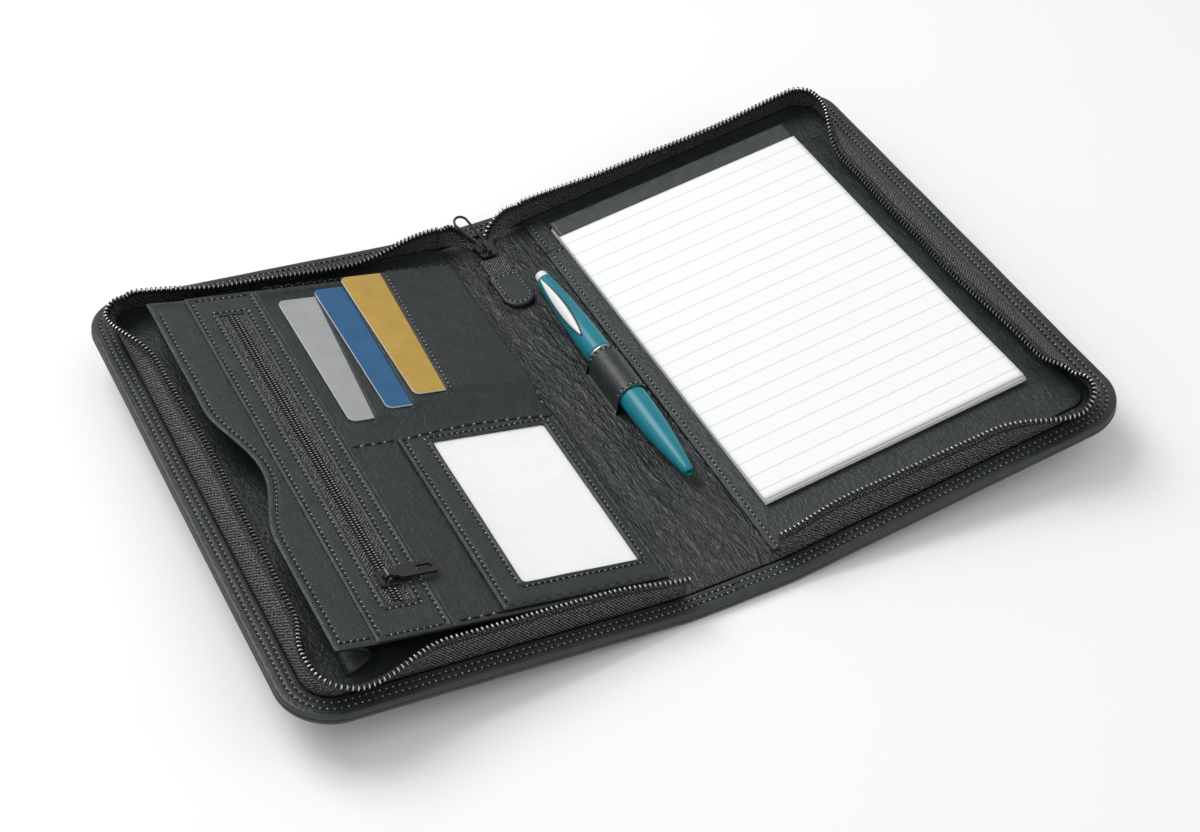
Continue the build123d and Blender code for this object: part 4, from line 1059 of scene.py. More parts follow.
def lining_half(side):
    """Crinkled spine lining of one half: height of the crinkles over a strip that runs over the fold, dying
    out at the sewn edges, closed below by a plain underside."""
    u = np.arange(-HALF_SPINE, LINING_OVERLAP + 0.01, 0.5)
    y = np.arange(-LINING_HALF_HEIGHT, LINING_HALF_HEIGHT + 0.01, 0.75)
    grid_u, grid_y = np.meshgrid(u, y, indexing="ij")
    calm = smooth_step((LINING_HALF_HEIGHT - np.abs(grid_y)) / LINING_CALM)
    calm = calm * smooth_step((LINING_OVERLAP + 0.2 - grid_u) / LINING_CALM)
    across = side * (grid_u + HALF_SPINE)
    room = crinkle_room(across, grid_y)
    rise = room * np.tanh(crinkles(across, grid_y) * calm / room)
    top = on_cover(grid_u, grid_y, LINING_BASE + rise, side)
    low = on_cover(grid_u, grid_y, LINING_LOW, side)
    return top, low


def slab(name, top, low):
    """Closed sheet from grids of its top and its underside, joined round all four edges."""
    rows, columns = top.shape[:2]
    edge = np.concatenate([
        np.stack([np.arange(columns - 1), np.arange(1, columns)], -1),
        np.stack([np.arange(rows - 1), np.arange(1, rows)], -1) * columns + columns - 1,
        (rows - 1) * columns + np.stack([np.arange(columns - 1, 0, -1), np.arange(columns - 2, -1, -1)], -1),
        np.stack([np.arange(rows - 1, 0, -1), np.arange(rows - 2, -1, -1)], -1) * columns,
    ])
    count = rows * columns
    faces = grid_faces(rows, columns)
    sides = np.stack([edge[:, 1], edge[:, 0], edge[:, 0] + count, edge[:, 1] + count], -1)
    points = np.concatenate([top.reshape(-1, 3), low.reshape(-1, 3)])
    return add_piece(name, points, np.concatenate([faces, faces[:, ::-1] + count, sides]))


for label, side in (("left", -1), ("right", 1)):
    lining = slab(f"{label}_spine_lining", *lining_half(side))
    dress(lining, LINING_LEATHER)
    if side > 0:
        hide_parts("spine_lining", "spine_padding")
    bend_at_fold(lining)


# Main zip: tapes, teeth and cords
def tape_run(distance):
    """Seam points and inward directions of the zip tape by distance from the front of the spine: straight
    along the front, a quarter circle, straight along the side, a quarter circle, straight along the back."""
    radius = CORNER_RADIUS - TAPE_INSET
    run = COVER_WIDTH - CORNER_RADIUS
    side = 2 * (HALF_HEIGHT - CORNER_RADIUS)
    arc = radius * math.pi / 2
    turn = (np.clip(distance - run, 0, arc) + np.clip(distance - run - arc - side, 0, arc)) / radius
    before = np.minimum(distance, run)
    along = np.clip(distance - run - arc, 0, side)
    after = np.maximum(distance - run - 2 * arc - side, 0)
    inward = np.stack([-np.sin(turn), np.cos(turn)], -1)
    middle = np.stack([before - after, along - side / 2], -1)
    return middle - radius * inward, inward


def tape_leans(leans):
    """Knots of the tape's lean in degrees by distance, at stations round the cover; inward is positive."""
    arc = (CORNER_RADIUS - TAPE_INSET) * math.pi / 2
    front_end = COVER_WIDTH - CORNER_RADIUS
    side_start = front_end + arc
    side_end = side_start + 2 * (HALF_HEIGHT - CORNER_RADIUS)
    back_start = side_end + arc
    back_end = back_start + front_end
    near, far = CORNER_RADIUS / 4, 2 * CORNER_RADIUS
    stations = [0, front_end / 4, front_end - far, front_end - near, side_start, side_start + far / 2,
                (side_start + side_end) / 2, side_end - far, side_end - near, (side_end + back_start) / 2,
                back_start + far, (back_start + far + back_end) / 2, back_end]
    return np.stack([stations, leans], -1)


def eased(knots, place):
    """Values between knots, eased by half a cosine."""
    index = np.clip(np.searchsorted(knots[:, 0], place) - 1, 0, len(knots) - 2)
    start, end = knots[index], knots[index + 1]
    share = np.clip((place - start[:, 0]) / (end[:, 0] - start[:, 0]), 0, 1)
    return start[:, 1] + (end[:, 1] - start[:, 1]) * (1 - np.cos(np.pi * share)) / 2


def tape_sheet(leans, side, rows):
    """Middle surface of a cover's zip tape, from seam to free edge: each line up the tape bends more towards
    its edge, with small waves along it. Returns points by distance and row."""
    knots = tape_leans(leans)
    distance = np.arange(0.0, knots[-1, 0], TAPE_STEP)
    seam, inward = tape_run(distance)
    lean = np.radians(eased(knots, distance))
    up = np.linspace(0, TAPE_WIDTH, rows)
    share = up / TAPE_WIDTH
    bend = lean[:, None] * (0.45 + 1.1 * share[None])
    step = np.gradient(up)
    reach = np.cumsum(np.sin(bend) * step, 1) - np.sin(bend[:, :1]) * step[0]
    rise = np.cumsum(np.cos(bend) * step, 1) - np.cos(bend[:, :1]) * step[0]
    wave = 0.5 * ripples(distance[:, None], 0 * up[None], size=46.0, seed=40 + side) * share[None] ** 1.5
    offset = reach + wave
    u = seam[:, 0, None] + inward[:, 0, None] * offset
    y = seam[:, 1, None] + inward[:, 1, None] * offset
    return on_cover(u, y, rise, side)


def throat_sheet(side, rows):
    """Middle surface of the loose tape from a cover down to the slider: root and tip each follow a smooth
    line through a few points, and the tape spans between them with a slight belly."""
    edge = side * THROAT_EDGE
    near = SLIDER_X + side * 1.0
    reach = edge - near
    seam_y = HALF_HEIGHT - TAPE_INSET
    start = tape_sheet(RIGHT_LEANS if side > 0 else LEFT_LEANS, side, 2)[-1]
    roots = np.array([start[0],
                      (edge - 0.3 * reach, seam_y - 2.5, 5.6), (edge - 0.5 * reach, seam_y - 5, 5.8),
                      (near + side * 6.0, SLIDER_Y + 6.4, 6.0), (near + side * 4.6, SLIDER_Y + 4.4, 6.2)])
    tips = np.array([start[1],
                     (edge - 0.36 * reach, seam_y - 1.5, 16.5), (edge - 0.68 * reach, seam_y - 2.0, 11.2),
                     (near + side * 0.6, SLIDER_Y + 7.0, 7.0), (near + side * 0.2, SLIDER_Y + 4.4, 6.5)])
    share = np.linspace(0, 1, THROAT_STEPS)
    root, tip = through(roots, share), through(tips, share)
    span = np.linspace(0, 1, rows)[None, :, None]
    belly = np.sin(np.pi * span) * np.array([0, THROAT_BELLY, 0]) * np.sin(np.pi * share)[:, None, None]
    return root[:, None] + (tip - root)[:, None] * span + belly


def through(knots, share):
    """Smooth line through knots: cubic pieces whose slope at each knot is half the chord of its
    neighbours."""
    knots = np.asarray(knots, float)
    place = np.clip(share * (len(knots) - 1), 0, len(knots) - 1 - 1e-9)
    index = place.astype(int)
    t = (place - index)[:, None]
    slope = np.gradient(knots, axis=0)
    a, b, ma, mb = knots[index], knots[index + 1], slope[index], slope[index + 1]
    return ((2 * t**3 - 3 * t**2 + 1) * a + (t**3 - 2 * t**2 + t) * ma
            + (3 * t**2 - 2 * t**3) * b + (t**3 - t**2) * mb)


def thicken(sheet_points, thickness):
    """Closed rings of a sheet with a thickness: up one face and down the other, offset along its normals."""
    along = np.gradient(sheet_points, axis=0)
    up = np.gradient(sheet_points, axis=1)
    normal = unit(np.cross(along, up))
    front = sheet_points + normal * thickness / 2
    back = sheet_points - normal * thickness / 2
    ring = np.concatenate([front, back[:, ::-1]], 1)
    middle = sheet_points.mean(1, keepdims=True)
    ends = np.repeat(middle, ring.shape[1], 1)
    return np.concatenate([ends[:1], ring, ends[-1:]]), normal


TOOTH_TURN = np.linspace(-0.25 * math.pi, 1.25 * math.pi, 9)
TOOTH_ROUND = full_turn(8)
# Share of each tooth's top and outer side that takes the painted crown highlight
TOOTH_CROWN = np.sin(TOOTH_TURN)[:, None] * np.maximum(np.cos(TOOTH_ROUND), 0)[None]


def teeth_grid(edge, along, up, across):
    """Coil tooth at each place along a tape's edge: a rounded loop that wraps over the edge, from a circle of
    points carried round part of an ellipse from one face of the tape to the other."""
    turn = TOOTH_TURN[None, :, None, None]
    round_ = TOOTH_ROUND[None, None, :, None]
    edge, along, up, across = (v[:, None, None, :] for v in (edge, along, up, across))
    outward = np.cos(turn) * across + np.sin(turn) * up
    centre = edge - TOOTH_SEAT * up + TOOTH_REACH * np.cos(turn) * across + TOOTH_RISE * np.sin(turn) * up
    thick = TOOTH_RADIUS * np.sqrt(np.clip(1.12 - (turn / math.pi * 2 - 1) ** 2 / 2.4, 0.05, 1))
    return centre + thick * (np.cos(round_) * outward + np.sin(round_) * along * 1.05)


def place_along(edge, vectors, pitch):
    """Places at an even pitch along a line of points, with vectors carried to them."""
    length = length_along(edge)
    marks = np.arange(TOOTH_TRIM, length[-1] - TOOTH_TRIM, pitch)
    return [carried(marks, length, values) for values in (edge, *vectors)]


for label, side, leans in (("left", -1, LEFT_LEANS), ("right", 1, RIGHT_LEANS)):
    whole = np.concatenate([tape_sheet(leans, side, TAPE_ROWS), throat_sheet(side, TAPE_ROWS)[1:]])
    rings, normals = thicken(whole, TAPE_THICKNESS)
    length = length_along(whole[:, 0])
    climb = np.linspace(0, TAPE_WIDTH, TAPE_ROWS)
    climb = np.concatenate([climb, climb[::-1] + TAPE_MAP_GAP])
    length = np.concatenate([length[:1], length, length[-1:]])
    uv = np.stack(np.broadcast_arrays(length[:, None], climb[None]), -1) * MM
    tape = add_surface(f"{label}_zip_tape_cloth", rings, close_columns=True, uv=uv)
    dress(tape, TAPE_CLOTH)
    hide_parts(f"{label}_zip_tape", f"{label}_throat_tape")
    bend_at_fold(tape)

    edge = whole[:, -1]
    edge_up = unit(whole[:, -1] - whole[:, -3])
    edge_along = unit(np.gradient(edge, axis=0))
    spots = place_along(edge, (edge_along, edge_up, normals[:, -1]), TOOTH_PITCH)
    coil = add_stitches(f"{label}_zip_coil", [teeth_grid(*spots)], TOOTH_CROWN)
    dress(coil, TEETH)
    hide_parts(f"{label}_zip_teeth")
    bend_at_fold(coil)

    cords = [tube(f"{label}_zip_cord_{face}", whole[:, -3] + normals[:, -3] * offset, CORD_RADIUS, sides=6)
             for face, offset in (("a", CORD_OFFSET), ("b", -CORD_OFFSET))]
    for cord in cords:
        dress(cord, ZIP_CORD)
        bend_at_fold(cord)


# Liners of both covers
def liner_loop(inset):
    """Loop of a cover's liner: the cover's edge drawn in, closed along the fold line."""
    half = cover_loop(inset, PANEL_STEP)
    half = half[half[:, 0] > 0]
    close = np.stack([np.zeros(40), np.linspace(half[-1, 1], half[0, 1], 42)[1:-1]], -1)
    return np.concatenate([half, close])


for label, place, seed in (("left", on_left, 3), ("right", on_right, 4)):
    liner = add_panel(
        f"{label}_liner_leather",
        panel_rings(liner_loop(LINER_INSET), LINER_LOW, LINER_TOP, lip=0.3, rows=16),
        place,
        lambda u, y, seed=seed: 0.12 * ripples(u, y, size=40.0, seed=seed) - 0.08,
    )
    dress(liner, PANEL_LEATHER, f"{label}_cover", (f"{label}_liner",))


# Pad pocket on the right cover
def pocket_leaf_loop():
    """Loop of the pad pocket's leather: the cover's edge drawn in, up to the pocket's straight back edge."""
    half = cover_loop(PAD_POCKET_INSET, PANEL_STEP)
    half = half[(half[:, 0] > 1.0) & (half[:, 1] < PAD_POCKET_BACK - 2)]
    back = line((half[-1, 0], PAD_POCKET_BACK), (0.8, PAD_POCKET_BACK), step=PANEL_STEP)
    left = line((-0.2, PAD_POCKET_BACK - 1.0), (-0.2, half[0, 1] + 1.0), step=PANEL_STEP)
    return np.concatenate([half, back, left])


def pad_pocket_swell(u, y):
    """Height added to the pocket's leaf: pressed flat under the pad, sinking a little towards its edges."""
    outside = outside_box(u, y, PAD_LEFT, PAD_RIGHT, PAD_FRONT, PAD_BACK)
    sink = -0.9 * smooth_step(outside / 14.0)
    return sink + 0.14 * ripples(u, y, size=26.0, seed=8) * smooth_step(outside / 6.0)


def on_pad_pocket(u, y):
    """Height of the pad pocket's leaf."""
    return PAD_POCKET_TOP + pad_pocket_swell(u, y)


pocket_leaf = add_panel(
    "pad_pocket_leather",
    panel_rings(pocket_leaf_loop(), PAD_POCKET_LOW, PAD_POCKET_TOP, lip=0.6, rows=22),
    on_right,
    pad_pocket_swell,
)
dress(pocket_leaf, PANEL_LEATHER, "right_cover", ("pad_pocket_panel",))
pocket_rows = [
    stitch_points(line((PAD_SEAM, PAD_SEAM_BACK), (PAD_SEAM, PAD_SEAM_FRONT)), on_right, on_pad_pocket,
                  width=0.8),
    stitch_points(line((3.5, PAD_SEAM_BACK), (PAD_LEFT - 1.0, PAD_SEAM_BACK)), on_right, on_pad_pocket),
]
pocket_sewing = sew("pad_pocket_stitches", pocket_rows, "right_cover")
back_flap_loop = rounded_loop(-0.2, PAD_LEFT, PAD_POCKET_BACK + 0.6, HEAD_FLAP_BACK,
                              radius=0.8, per_side=20, per_corner=4)
back_flap = add_panel(
    "pad_head_flap",
    panel_rings(back_flap_loop, PAD_POCKET_LOW, HEAD_FLAP_TOP, lip=0.5, rows=5),
    on_right,
)
dress(back_flap, PANEL_LEATHER, "right_cover")
flap_seam = line((PAD_SEAM, PAD_POCKET_BACK + 2.2), (PAD_SEAM, HEAD_FLAP_BACK - 1.5))
flap_sewing = sew("pad_head_stitches", [stitch_points(flap_seam, on_right, HEAD_FLAP_TOP + 0.05)],
                  "right_cover")


# Writing pad
def sheet_grid(front, back, left, right, low, lift, seed, step=4.0):
    """Slightly wavy sheet of paper: a flat grid whose free front end lifts and curls by lift."""
    u = np.linspace(left, right, int((right - left) / step))
    y = np.linspace(front, back, int((back - front) / step))
    grid_u, grid_y = np.meshgrid(u, y, indexing="ij")
    free = smooth_step((front + SHEET_CURL - grid_y) / SHEET_CURL)
    corner = smooth_step((grid_u - (right - SHEET_CORNER)) / SHEET_CORNER)
    rise = low + free ** 2 * lift * (0.45 + 0.55 * corner)
    return grid_u, grid_y, rise + 0.05 * free * ripples(grid_u, grid_y, size=60.0, seed=seed)


def add_sheet(name, grid, thickness):
    """Closed paper sheet from its grid, mapped from above."""
    u, y, h = grid
    piece = slab(name, on_right(u, y, h + thickness), on_right(u, y, h))
    map_from_above(piece)
    return piece


sheet_step = (PAD_SHEETS_TOP - PAD_SHEETS_LOW) / len(SHEET_SPREAD)
for number, (forward, sideways) in enumerate(SHEET_SPREAD):
    low = PAD_SHEETS_LOW + number * sheet_step
    lift = 0.1 + 0.16 * number
    grid = sheet_grid(PAD_FRONT - forward, PAD_BACK - 0.1, PAD_LEFT, PAD_RIGHT + sideways,
                      low, lift, seed=50 + number)
    leaf = add_sheet(f"pad_leaf_{number + 1}", grid, sheet_step - 0.06)
    dress(leaf, PAGE_EDGE, "pad")
    if number == 0:
        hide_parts("pad_sheets")

page_grid = sheet_grid(PAD_FRONT, PAD_HEADER + 3.0, PAD_LEFT, PAD_RIGHT,
                       low=PAD_SHEETS_TOP + 0.04, lift=1.3, seed=60, step=2.5)
page = add_sheet("pad_page", page_grid, PAGE_TOP - PAD_SHEETS_TOP - 0.14)
dress(page, RULED_PAPER, nodes=("pad_top_sheet",))
frame_point(on_right(PAGE_HINGE, PAD_HEADER, PAGE_TOP))
frame_point(on_right(PAGE_HINGE, PAGE_BEND, PAGE_TOP))
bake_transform(page)


def binding_sheet():
    """Middle surface of the binding strip: flat over the head of the pad, a quarter circle of BINDING_ROLL
    and straight down its end, with small ripples."""
    turn = np.linspace(0, math.pi / 2, 7)[1:]
    roll_start = PAD_BACK - 0.9
    y = np.concatenate([np.linspace(PAD_HEADER, roll_start, 12), roll_start + BINDING_ROLL * np.sin(turn),
                        np.full(6, roll_start + BINDING_ROLL)])
    h = np.concatenate([np.full(12, BINDING_TOP), BINDING_TOP - BINDING_ROLL * (1 - np.cos(turn)),
                        np.linspace(BINDING_TOP - 1.5, 0.2, 6)])
    u = np.linspace(PAD_LEFT - 0.05, PAD_RIGHT + 0.05, 60)[:, None]
    return on_right(u, y, h + 0.05 * ripples(u, y, size=14.0, seed=70))


binding_rings, _ = thicken(binding_sheet(), BINDING_THICKNESS)
binding = add_surface("pad_binding", binding_rings, close_columns=True)
dress(binding, BINDING, "pad", ("pad_binding_strip",))


# Organizer on the left cover
def scoop(y):
    """How far the document pocket's mouth dips in at a place: a raised cosine about the scoop's middle."""
    share = np.clip((y - SCOOP_MIDDLE) / SCOOP_HALF, -1, 1)
    return SCOOP_DEPTH * (1 + np.cos(np.pi * share)) / 2


def mouth(inset=0.0):
    """Line of the document pocket's scooped mouth from front to back, drawn in by inset."""
    y = np.linspace(ORGANIZER_FRONT + 1.0, ORGANIZER_BACK - 1.0, 90)
    return np.stack([ORGANIZER_LEFT - inset - scoop(y), y], -1)


def wall_loop():
    """Loop of the document pocket's wall, with the scooped mouth on its left side."""
    front = line((ORGANIZER_RIGHT, ORGANIZER_FRONT), (ORGANIZER_LEFT, ORGANIZER_FRONT), step=4.0)
    back = line((ORGANIZER_LEFT, ORGANIZER_BACK), (ORGANIZER_RIGHT, ORGANIZER_BACK), step=4.0)[:-1]
    right = line((ORGANIZER_RIGHT, ORGANIZER_BACK), (ORGANIZER_RIGHT, ORGANIZER_FRONT), step=4.0)[:-1]
    return np.concatenate([front, mouth(), back, right])


def wall_swell(u, y):
    """Height added to the wall: its mouth curls up a little and the leather waves beside it."""
    free = smooth_step((u - ZIP_PANEL_LEFT) / (ORGANIZER_LEFT - ZIP_PANEL_LEFT))
    return free * (0.55 + 0.4 * ripples(u, y, size=48.0, seed=12))


wall = add_panel(
    "document_pocket_leather",
    panel_rings(wall_loop(), WALL_LOW, WALL_TOP, lip=0.3, rows=26, seam=MOUTH_SEAM),
    on_organizer,
    wall_swell,
)
dress(wall, PANEL_LEATHER, "organizer", ("document_pocket_wall",))
wall_corner = (ORGANIZER_LEFT - MOUTH_SEAM, ORGANIZER_FRONT + MOUTH_SEAM)
wall_front_seam = line((ZIP_PANEL_LEFT + 1.0, wall_corner[1]), wall_corner)
wall_seam = np.concatenate([wall_front_seam, mouth(MOUTH_SEAM)[3:-3]])
mouth_stitches = stitch_points(wall_seam, on_organizer, lambda u, y: WALL_TOP + wall_swell(u, y))
mouth_sewing = sew("document_pocket_stitches", [mouth_stitches], "organizer")


def zip_panel_swell(u, y):
    """Height added to the zip pocket's panel: a soft swell that dies out at its sewn edges."""
    edge = np.minimum(np.minimum(ZIP_PANEL_LEFT - u, u - ZIP_PANEL_RIGHT),
                      np.minimum(y - ORGANIZER_FRONT, ORGANIZER_BACK - y))
    return smooth_step(edge / 6.0) * (0.12 + 0.16 * ripples(u, y, size=34.0, seed=14))


def on_zip_panel(u, y):
    """Height of the zip pocket's panel."""
    return PANEL_TOP + zip_panel_swell(u, y)


def grown(box, by):
    """Sides of a rectangle (low u, high u, low y, high y), moved outwards."""
    return box[0] - by, box[1] + by, box[2] - by, box[3] + by


window_right, window_left, window_front, window_back = ZIP_WINDOW
zip_panel_box = (ZIP_PANEL_RIGHT, ZIP_PANEL_LEFT, ORGANIZER_FRONT, ORGANIZER_BACK)
zip_panel_loop = rounded_loop(*zip_panel_box, radius=0.8, per_side=110, per_corner=5)
zip_window_loop = rounded_loop(*ZIP_WINDOW, radius=0.6, per_side=110, per_corner=5)
zip_panel = add_panel(
    "zip_pocket_leather",
    frame_rings(zip_panel_loop, zip_window_loop, WALL_TOP + 0.05, PANEL_TOP, lip=0.34, rows=8,
                seam=PANEL_SEAM),
    on_organizer,
    zip_panel_swell,
    close_rings=True,
)
dress(zip_panel, PANEL_LEATHER, "organizer", ("zip_pocket_panel",))
seam_right, seam_left, seam_front, seam_back = grown(zip_panel_box, -PANEL_SEAM)
zip_seams = [
    line((seam_left, ORGANIZER_FRONT + 3), (seam_left, ORGANIZER_BACK - 3)),
    line((seam_right, ORGANIZER_FRONT + 3), (seam_right, ORGANIZER_BACK - 3)),
    closed(rounded_loop(*grown(ZIP_WINDOW, PANEL_SEAM), radius=0.5, per_side=90, per_corner=3)),
    line((ZIP_PANEL_LEFT - 4, seam_back), (ZIP_PANEL_RIGHT + 3, seam_back)),
    line((ZIP_PANEL_LEFT - 4, seam_front), (ZIP_PANEL_RIGHT + 3, seam_front)),
]
zip_rows = [stitch_points(seam, on_organizer, on_zip_panel) for seam in zip_seams]
zip_sewing = sew("zip_pocket_stitches", zip_rows, "organizer")

# Zip of the pocket: two woven tapes and a closed coil down their middle
tape_rings = frame_rings(
    rounded_loop(*grown(ZIP_WINDOW, POCKET_TAPE_LAP), radius=0.5, per_side=110, per_corner=3),
    rounded_loop(ZIP_LINE - 0.25, ZIP_LINE + 0.25, window_front + 0.5, window_back - 0.5,
                 radius=0.2, per_side=110, per_corner=3),
    WALL_TOP + 0.02,
    WALL_TOP + 0.26,
    lip=0.08,
    rows=6,
)
pocket_tape = add_panel("pocket_zip_cloth", tape_rings, on_organizer, close_rings=True)
dress(pocket_tape, TAPE_CLOTH, "organizer", ("pocket_zip_tapes",))


def closed_coil(front, back):
    """Grid of points for each tooth of a closed coil: short rounded bars side by side from both tapes, set
    half a pitch apart."""
    rows = []
    for hand, shift in ((-1, 0.0), (1, COIL_PITCH / 2)):
        y = np.arange(front + 1 + shift, back - 1, COIL_PITCH)[:, None, None]
        share = np.linspace(-1, 1, 7)[None, :, None]
        angle = full_turn(6)[None, None, :] + COIL_TURN
        fat = COIL_RADIUS * np.maximum(1 - share ** 2, 0) ** 0.35
        u = ZIP_LINE + hand * (1.15 + 1.25 * share) + 0 * angle + 0 * y
        place = y + fat * np.cos(angle) + 0.12 * share
        height = COIL_HEIGHT + fat * np.sin(angle) * 1.05 + 0 * y
        rows.append(on_organizer(u, place, height))
    return rows


# Where along each coil bar and round its top the painted crown highlight goes
bar_highlight = np.array([0.0, 0.6, 1.0, 1.0, 0.6, 0.2, 0.0])
bar_crown = np.maximum(np.sin(full_turn(6) + COIL_TURN), 0)[None] * bar_highlight[:, None]
coil = add_stitches("pocket_zip_coil", closed_coil(window_front, window_back), bar_crown)
dress(coil, TEETH, "organizer", ("pocket_zip_teeth",))


# Card side of the organizer
def slot_edge(number, y):
    """Place of a card slot's edge at y: a straight slit, slanted along its card."""
    middle = CARD_BACKS[number] - CARD_LENGTH / 2
    return SLOT_LEFTS[number] - SLOT_SLANTS[number] * (y - middle) / (CARD_LENGTH / 2 + 2.5)


def leaf_height(number, u, y):
    """Height of the leaf over one card: raised over the card, easing down past its ends and at the seam."""
    front, back = CARD_BACKS[number] - CARD_LENGTH, CARD_BACKS[number]
    room = 2.4 + 9.0 * smooth_step((slot_edge(number, y) - u) / 24.0)
    inside = smooth_step((y - front + room) / room)
    inside = inside * smooth_step((back + np.minimum(room, ORGANIZER_BACK - back) - y) / 3.2)
    seam = smooth_step((u - ORGANIZER_RIGHT) / 2.4)
    return PANEL_TOP + (LEAF_TOPS[number] - PANEL_TOP) * inside * seam


def card_field(u, y, leaves):
    """Height of the card side with some of its leaves: the highest of them, on a soft uneven base."""
    calm = smooth_step((u - ORGANIZER_RIGHT) / 10.0)
    height = PANEL_TOP - 0.1 + 0.08 * ripples(u, y, size=30.0, seed=16) * calm
    for number in range(leaves):
        leaf = leaf_height(number, u, y)
        raised = np.clip(leaf - PANEL_TOP, 0, 1)
        rippled = 0.05 * raised * ripples(u, y, size=22.0, seed=17 + number)
        height = np.maximum(height, leaf - 0.15 * (1 - raised) + rippled)
    return height


def card_side_rows():
    """Top surface of the card side as columns of points from left to right: at each slit the lower leaf ends
    and the next one starts with a rolled edge above it."""
    y = np.linspace(ORGANIZER_FRONT, ORGANIZER_BACK, 190)
    edges = [np.full_like(y, ZIP_PANEL_RIGHT - 0.1), *(slot_edge(number, y) for number in range(3)),
             np.full_like(y, ORGANIZER_RIGHT)]
    columns = []
    for leaves, (left, right) in enumerate(zip(edges, edges[1:])):
        if leaves:
            base = card_field(left, y, leaves - 1)
            raised = np.clip(leaf_height(leaves - 1, left - LEAF_EDGE, y) - PANEL_TOP, 0, 1)
            step = np.maximum(card_field(left - LEAF_EDGE, y, leaves) - base, 0) * raised
            for reach, share in ((0.0, 0.55), (0.08, 0.82), (0.25, 0.95)):
                columns.append((left - reach, y, base + step * share))
        shares = np.linspace(0, 1, 26 if leaves < 3 else 64)
        for share in shares[1 if leaves else 0:]:
            u = left - (LEAF_EDGE if leaves else 0.0) * (1 - share) + (right - left) * share
            columns.append((u, y, card_field(u, y, leaves)))
    return columns


columns = card_side_rows()
top = np.stack([on_organizer(u, y, h) for u, y, h in columns])
low = np.stack([on_organizer(u, y, WALL_TOP + 0.05) for u, y, h in columns])
card_side = slab("card_side_leather", top, low)
dress(card_side, SHADED_CARD_LEATHER, "organizer",
      ("card_panel", "grey_card_pocket", "blue_card_pocket", "gold_card_pocket"))


def card_piece(name, loop, low, thickness, face, edge, lip=0.1):
    """Card with a coloured face and pale cut edges, told apart by which way the faces look."""
    piece = add_panel(name + "_piece", panel_rings(loop, low, low + thickness, lip, rows=6), on_organizer)
    piece.data.materials.append(face)
    piece.data.materials.append(edge)
    up = np.array([math.sin(ORGANIZER_TILT), 0, math.cos(ORGANIZER_TILT)])
    normals = np.empty(len(piece.data.polygons) * 3, np.float32)
    piece.data.polygons.foreach_get("normal", normals)
    upright = np.abs(normals.reshape(-1, 3) @ up) <= 0.9
    piece.data.polygons.foreach_set("material_index", upright.astype(np.int32))
    return piece


for name, left, back, low, finish in zip(CARD_NAMES, CARD_LEFTS, CARD_BACKS, CARD_LOWS,
                                         (GREY_CARD, BLUE_CARD, GOLD_CARD)):
    loop = rounded_loop(left - CARD_WIDTH, left, back - CARD_LENGTH, back,
                        radius=CARD_CORNER, per_side=10, per_corner=9)
    card = card_piece(name, loop, low, CARD_THICKNESS, finish, CARD_EDGE)
    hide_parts(name)
    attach(card, name)

# Window pocket
pocket_right, pocket_left, pocket_front, pocket_back = WINDOW_POCKET


def arch(u):
    """How far the pocket's back edge stands in from its crown: a sine arch over its width."""
    share = np.clip((u - pocket_right) / (pocket_left - pocket_right), 0, 1)
    return WINDOW_ARCH * (1 - np.sin(np.pi * share))


def window_swell(u, y):
    """Height added to the pocket's frame: soft swell between its seams."""
    edge = np.minimum(np.minimum(u - pocket_right, pocket_left - u), y - pocket_front)
    swollen = smooth_step(edge / 5.0) * (0.1 + 0.14 * ripples(u, y, size=24.0, seed=19))
    return swollen - 0.5 * smooth_step((4.0 - edge) / 4.0)


def on_window_frame(u, y):
    """Height of the window pocket's frame."""
    return WINDOW_FRAME_TOP + window_swell(u, y)


outer = rounded_loop(*WINDOW_POCKET, radius=0.8, per_side=50, per_corner=4)
outer[:, 1] -= arch(outer[:, 0]) * smooth_step((outer[:, 1] - pocket_back + 30) / 28)
inner = rounded_loop(*WINDOW, radius=1.5, per_side=50, per_corner=4)
window_frame = add_panel(
    "window_pocket_leather",
    frame_rings(outer, inner, PANEL_TOP + 0.1, WINDOW_FRAME_TOP, lip=0.4, rows=7, seam=PANEL_SEAM),
    on_organizer,
    window_swell,
    close_rings=True,
)
dress(window_frame, PANEL_LEATHER, "organizer", ("window_pocket_frame",))
blank_loop = rounded_loop(*grown(WINDOW, BLANK_LAP), radius=0.5, per_side=10, per_corner=3)
blank = card_piece("white_card", blank_loop, BLANK_LOW, BLANK_THICKNESS, WHITE_CARD, WHITE_CARD, 0.06)
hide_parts("blank_card")
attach(blank, "blank_card")
film_loop = rounded_loop(*grown(WINDOW, FILM_LAP), radius=0.5, per_side=10, per_corner=3)
film_rings = panel_rings(film_loop, FILM_LOW, FILM_TOP, lip=0.06, rows=6)
film = add_panel("window_clear_film", film_rings, on_organizer)
dress(film, FILM, "organizer", ("window_film",))
backing_loop = rounded_loop(pocket_left + 0.2, ZIP_PANEL_RIGHT - 0.2, ORGANIZER_FRONT + 0.3, BACKING_BACK,
                            radius=0.5, per_side=40, per_corner=4)
backing = add_panel(
    "window_pocket_backing",
    panel_rings(backing_loop, PANEL_TOP - 0.6, PANEL_TOP + 0.03, lip=0.3, rows=8),
    on_organizer,
    lambda u, y: 0.04 * ripples(u, y, size=26.0, seed=23),
)
dress(backing, SHADED_CARD_LEATHER, "organizer")


def on_card_side(u, y):
    """Height of the card side with all its leaves."""
    return card_field(u, y, 3)


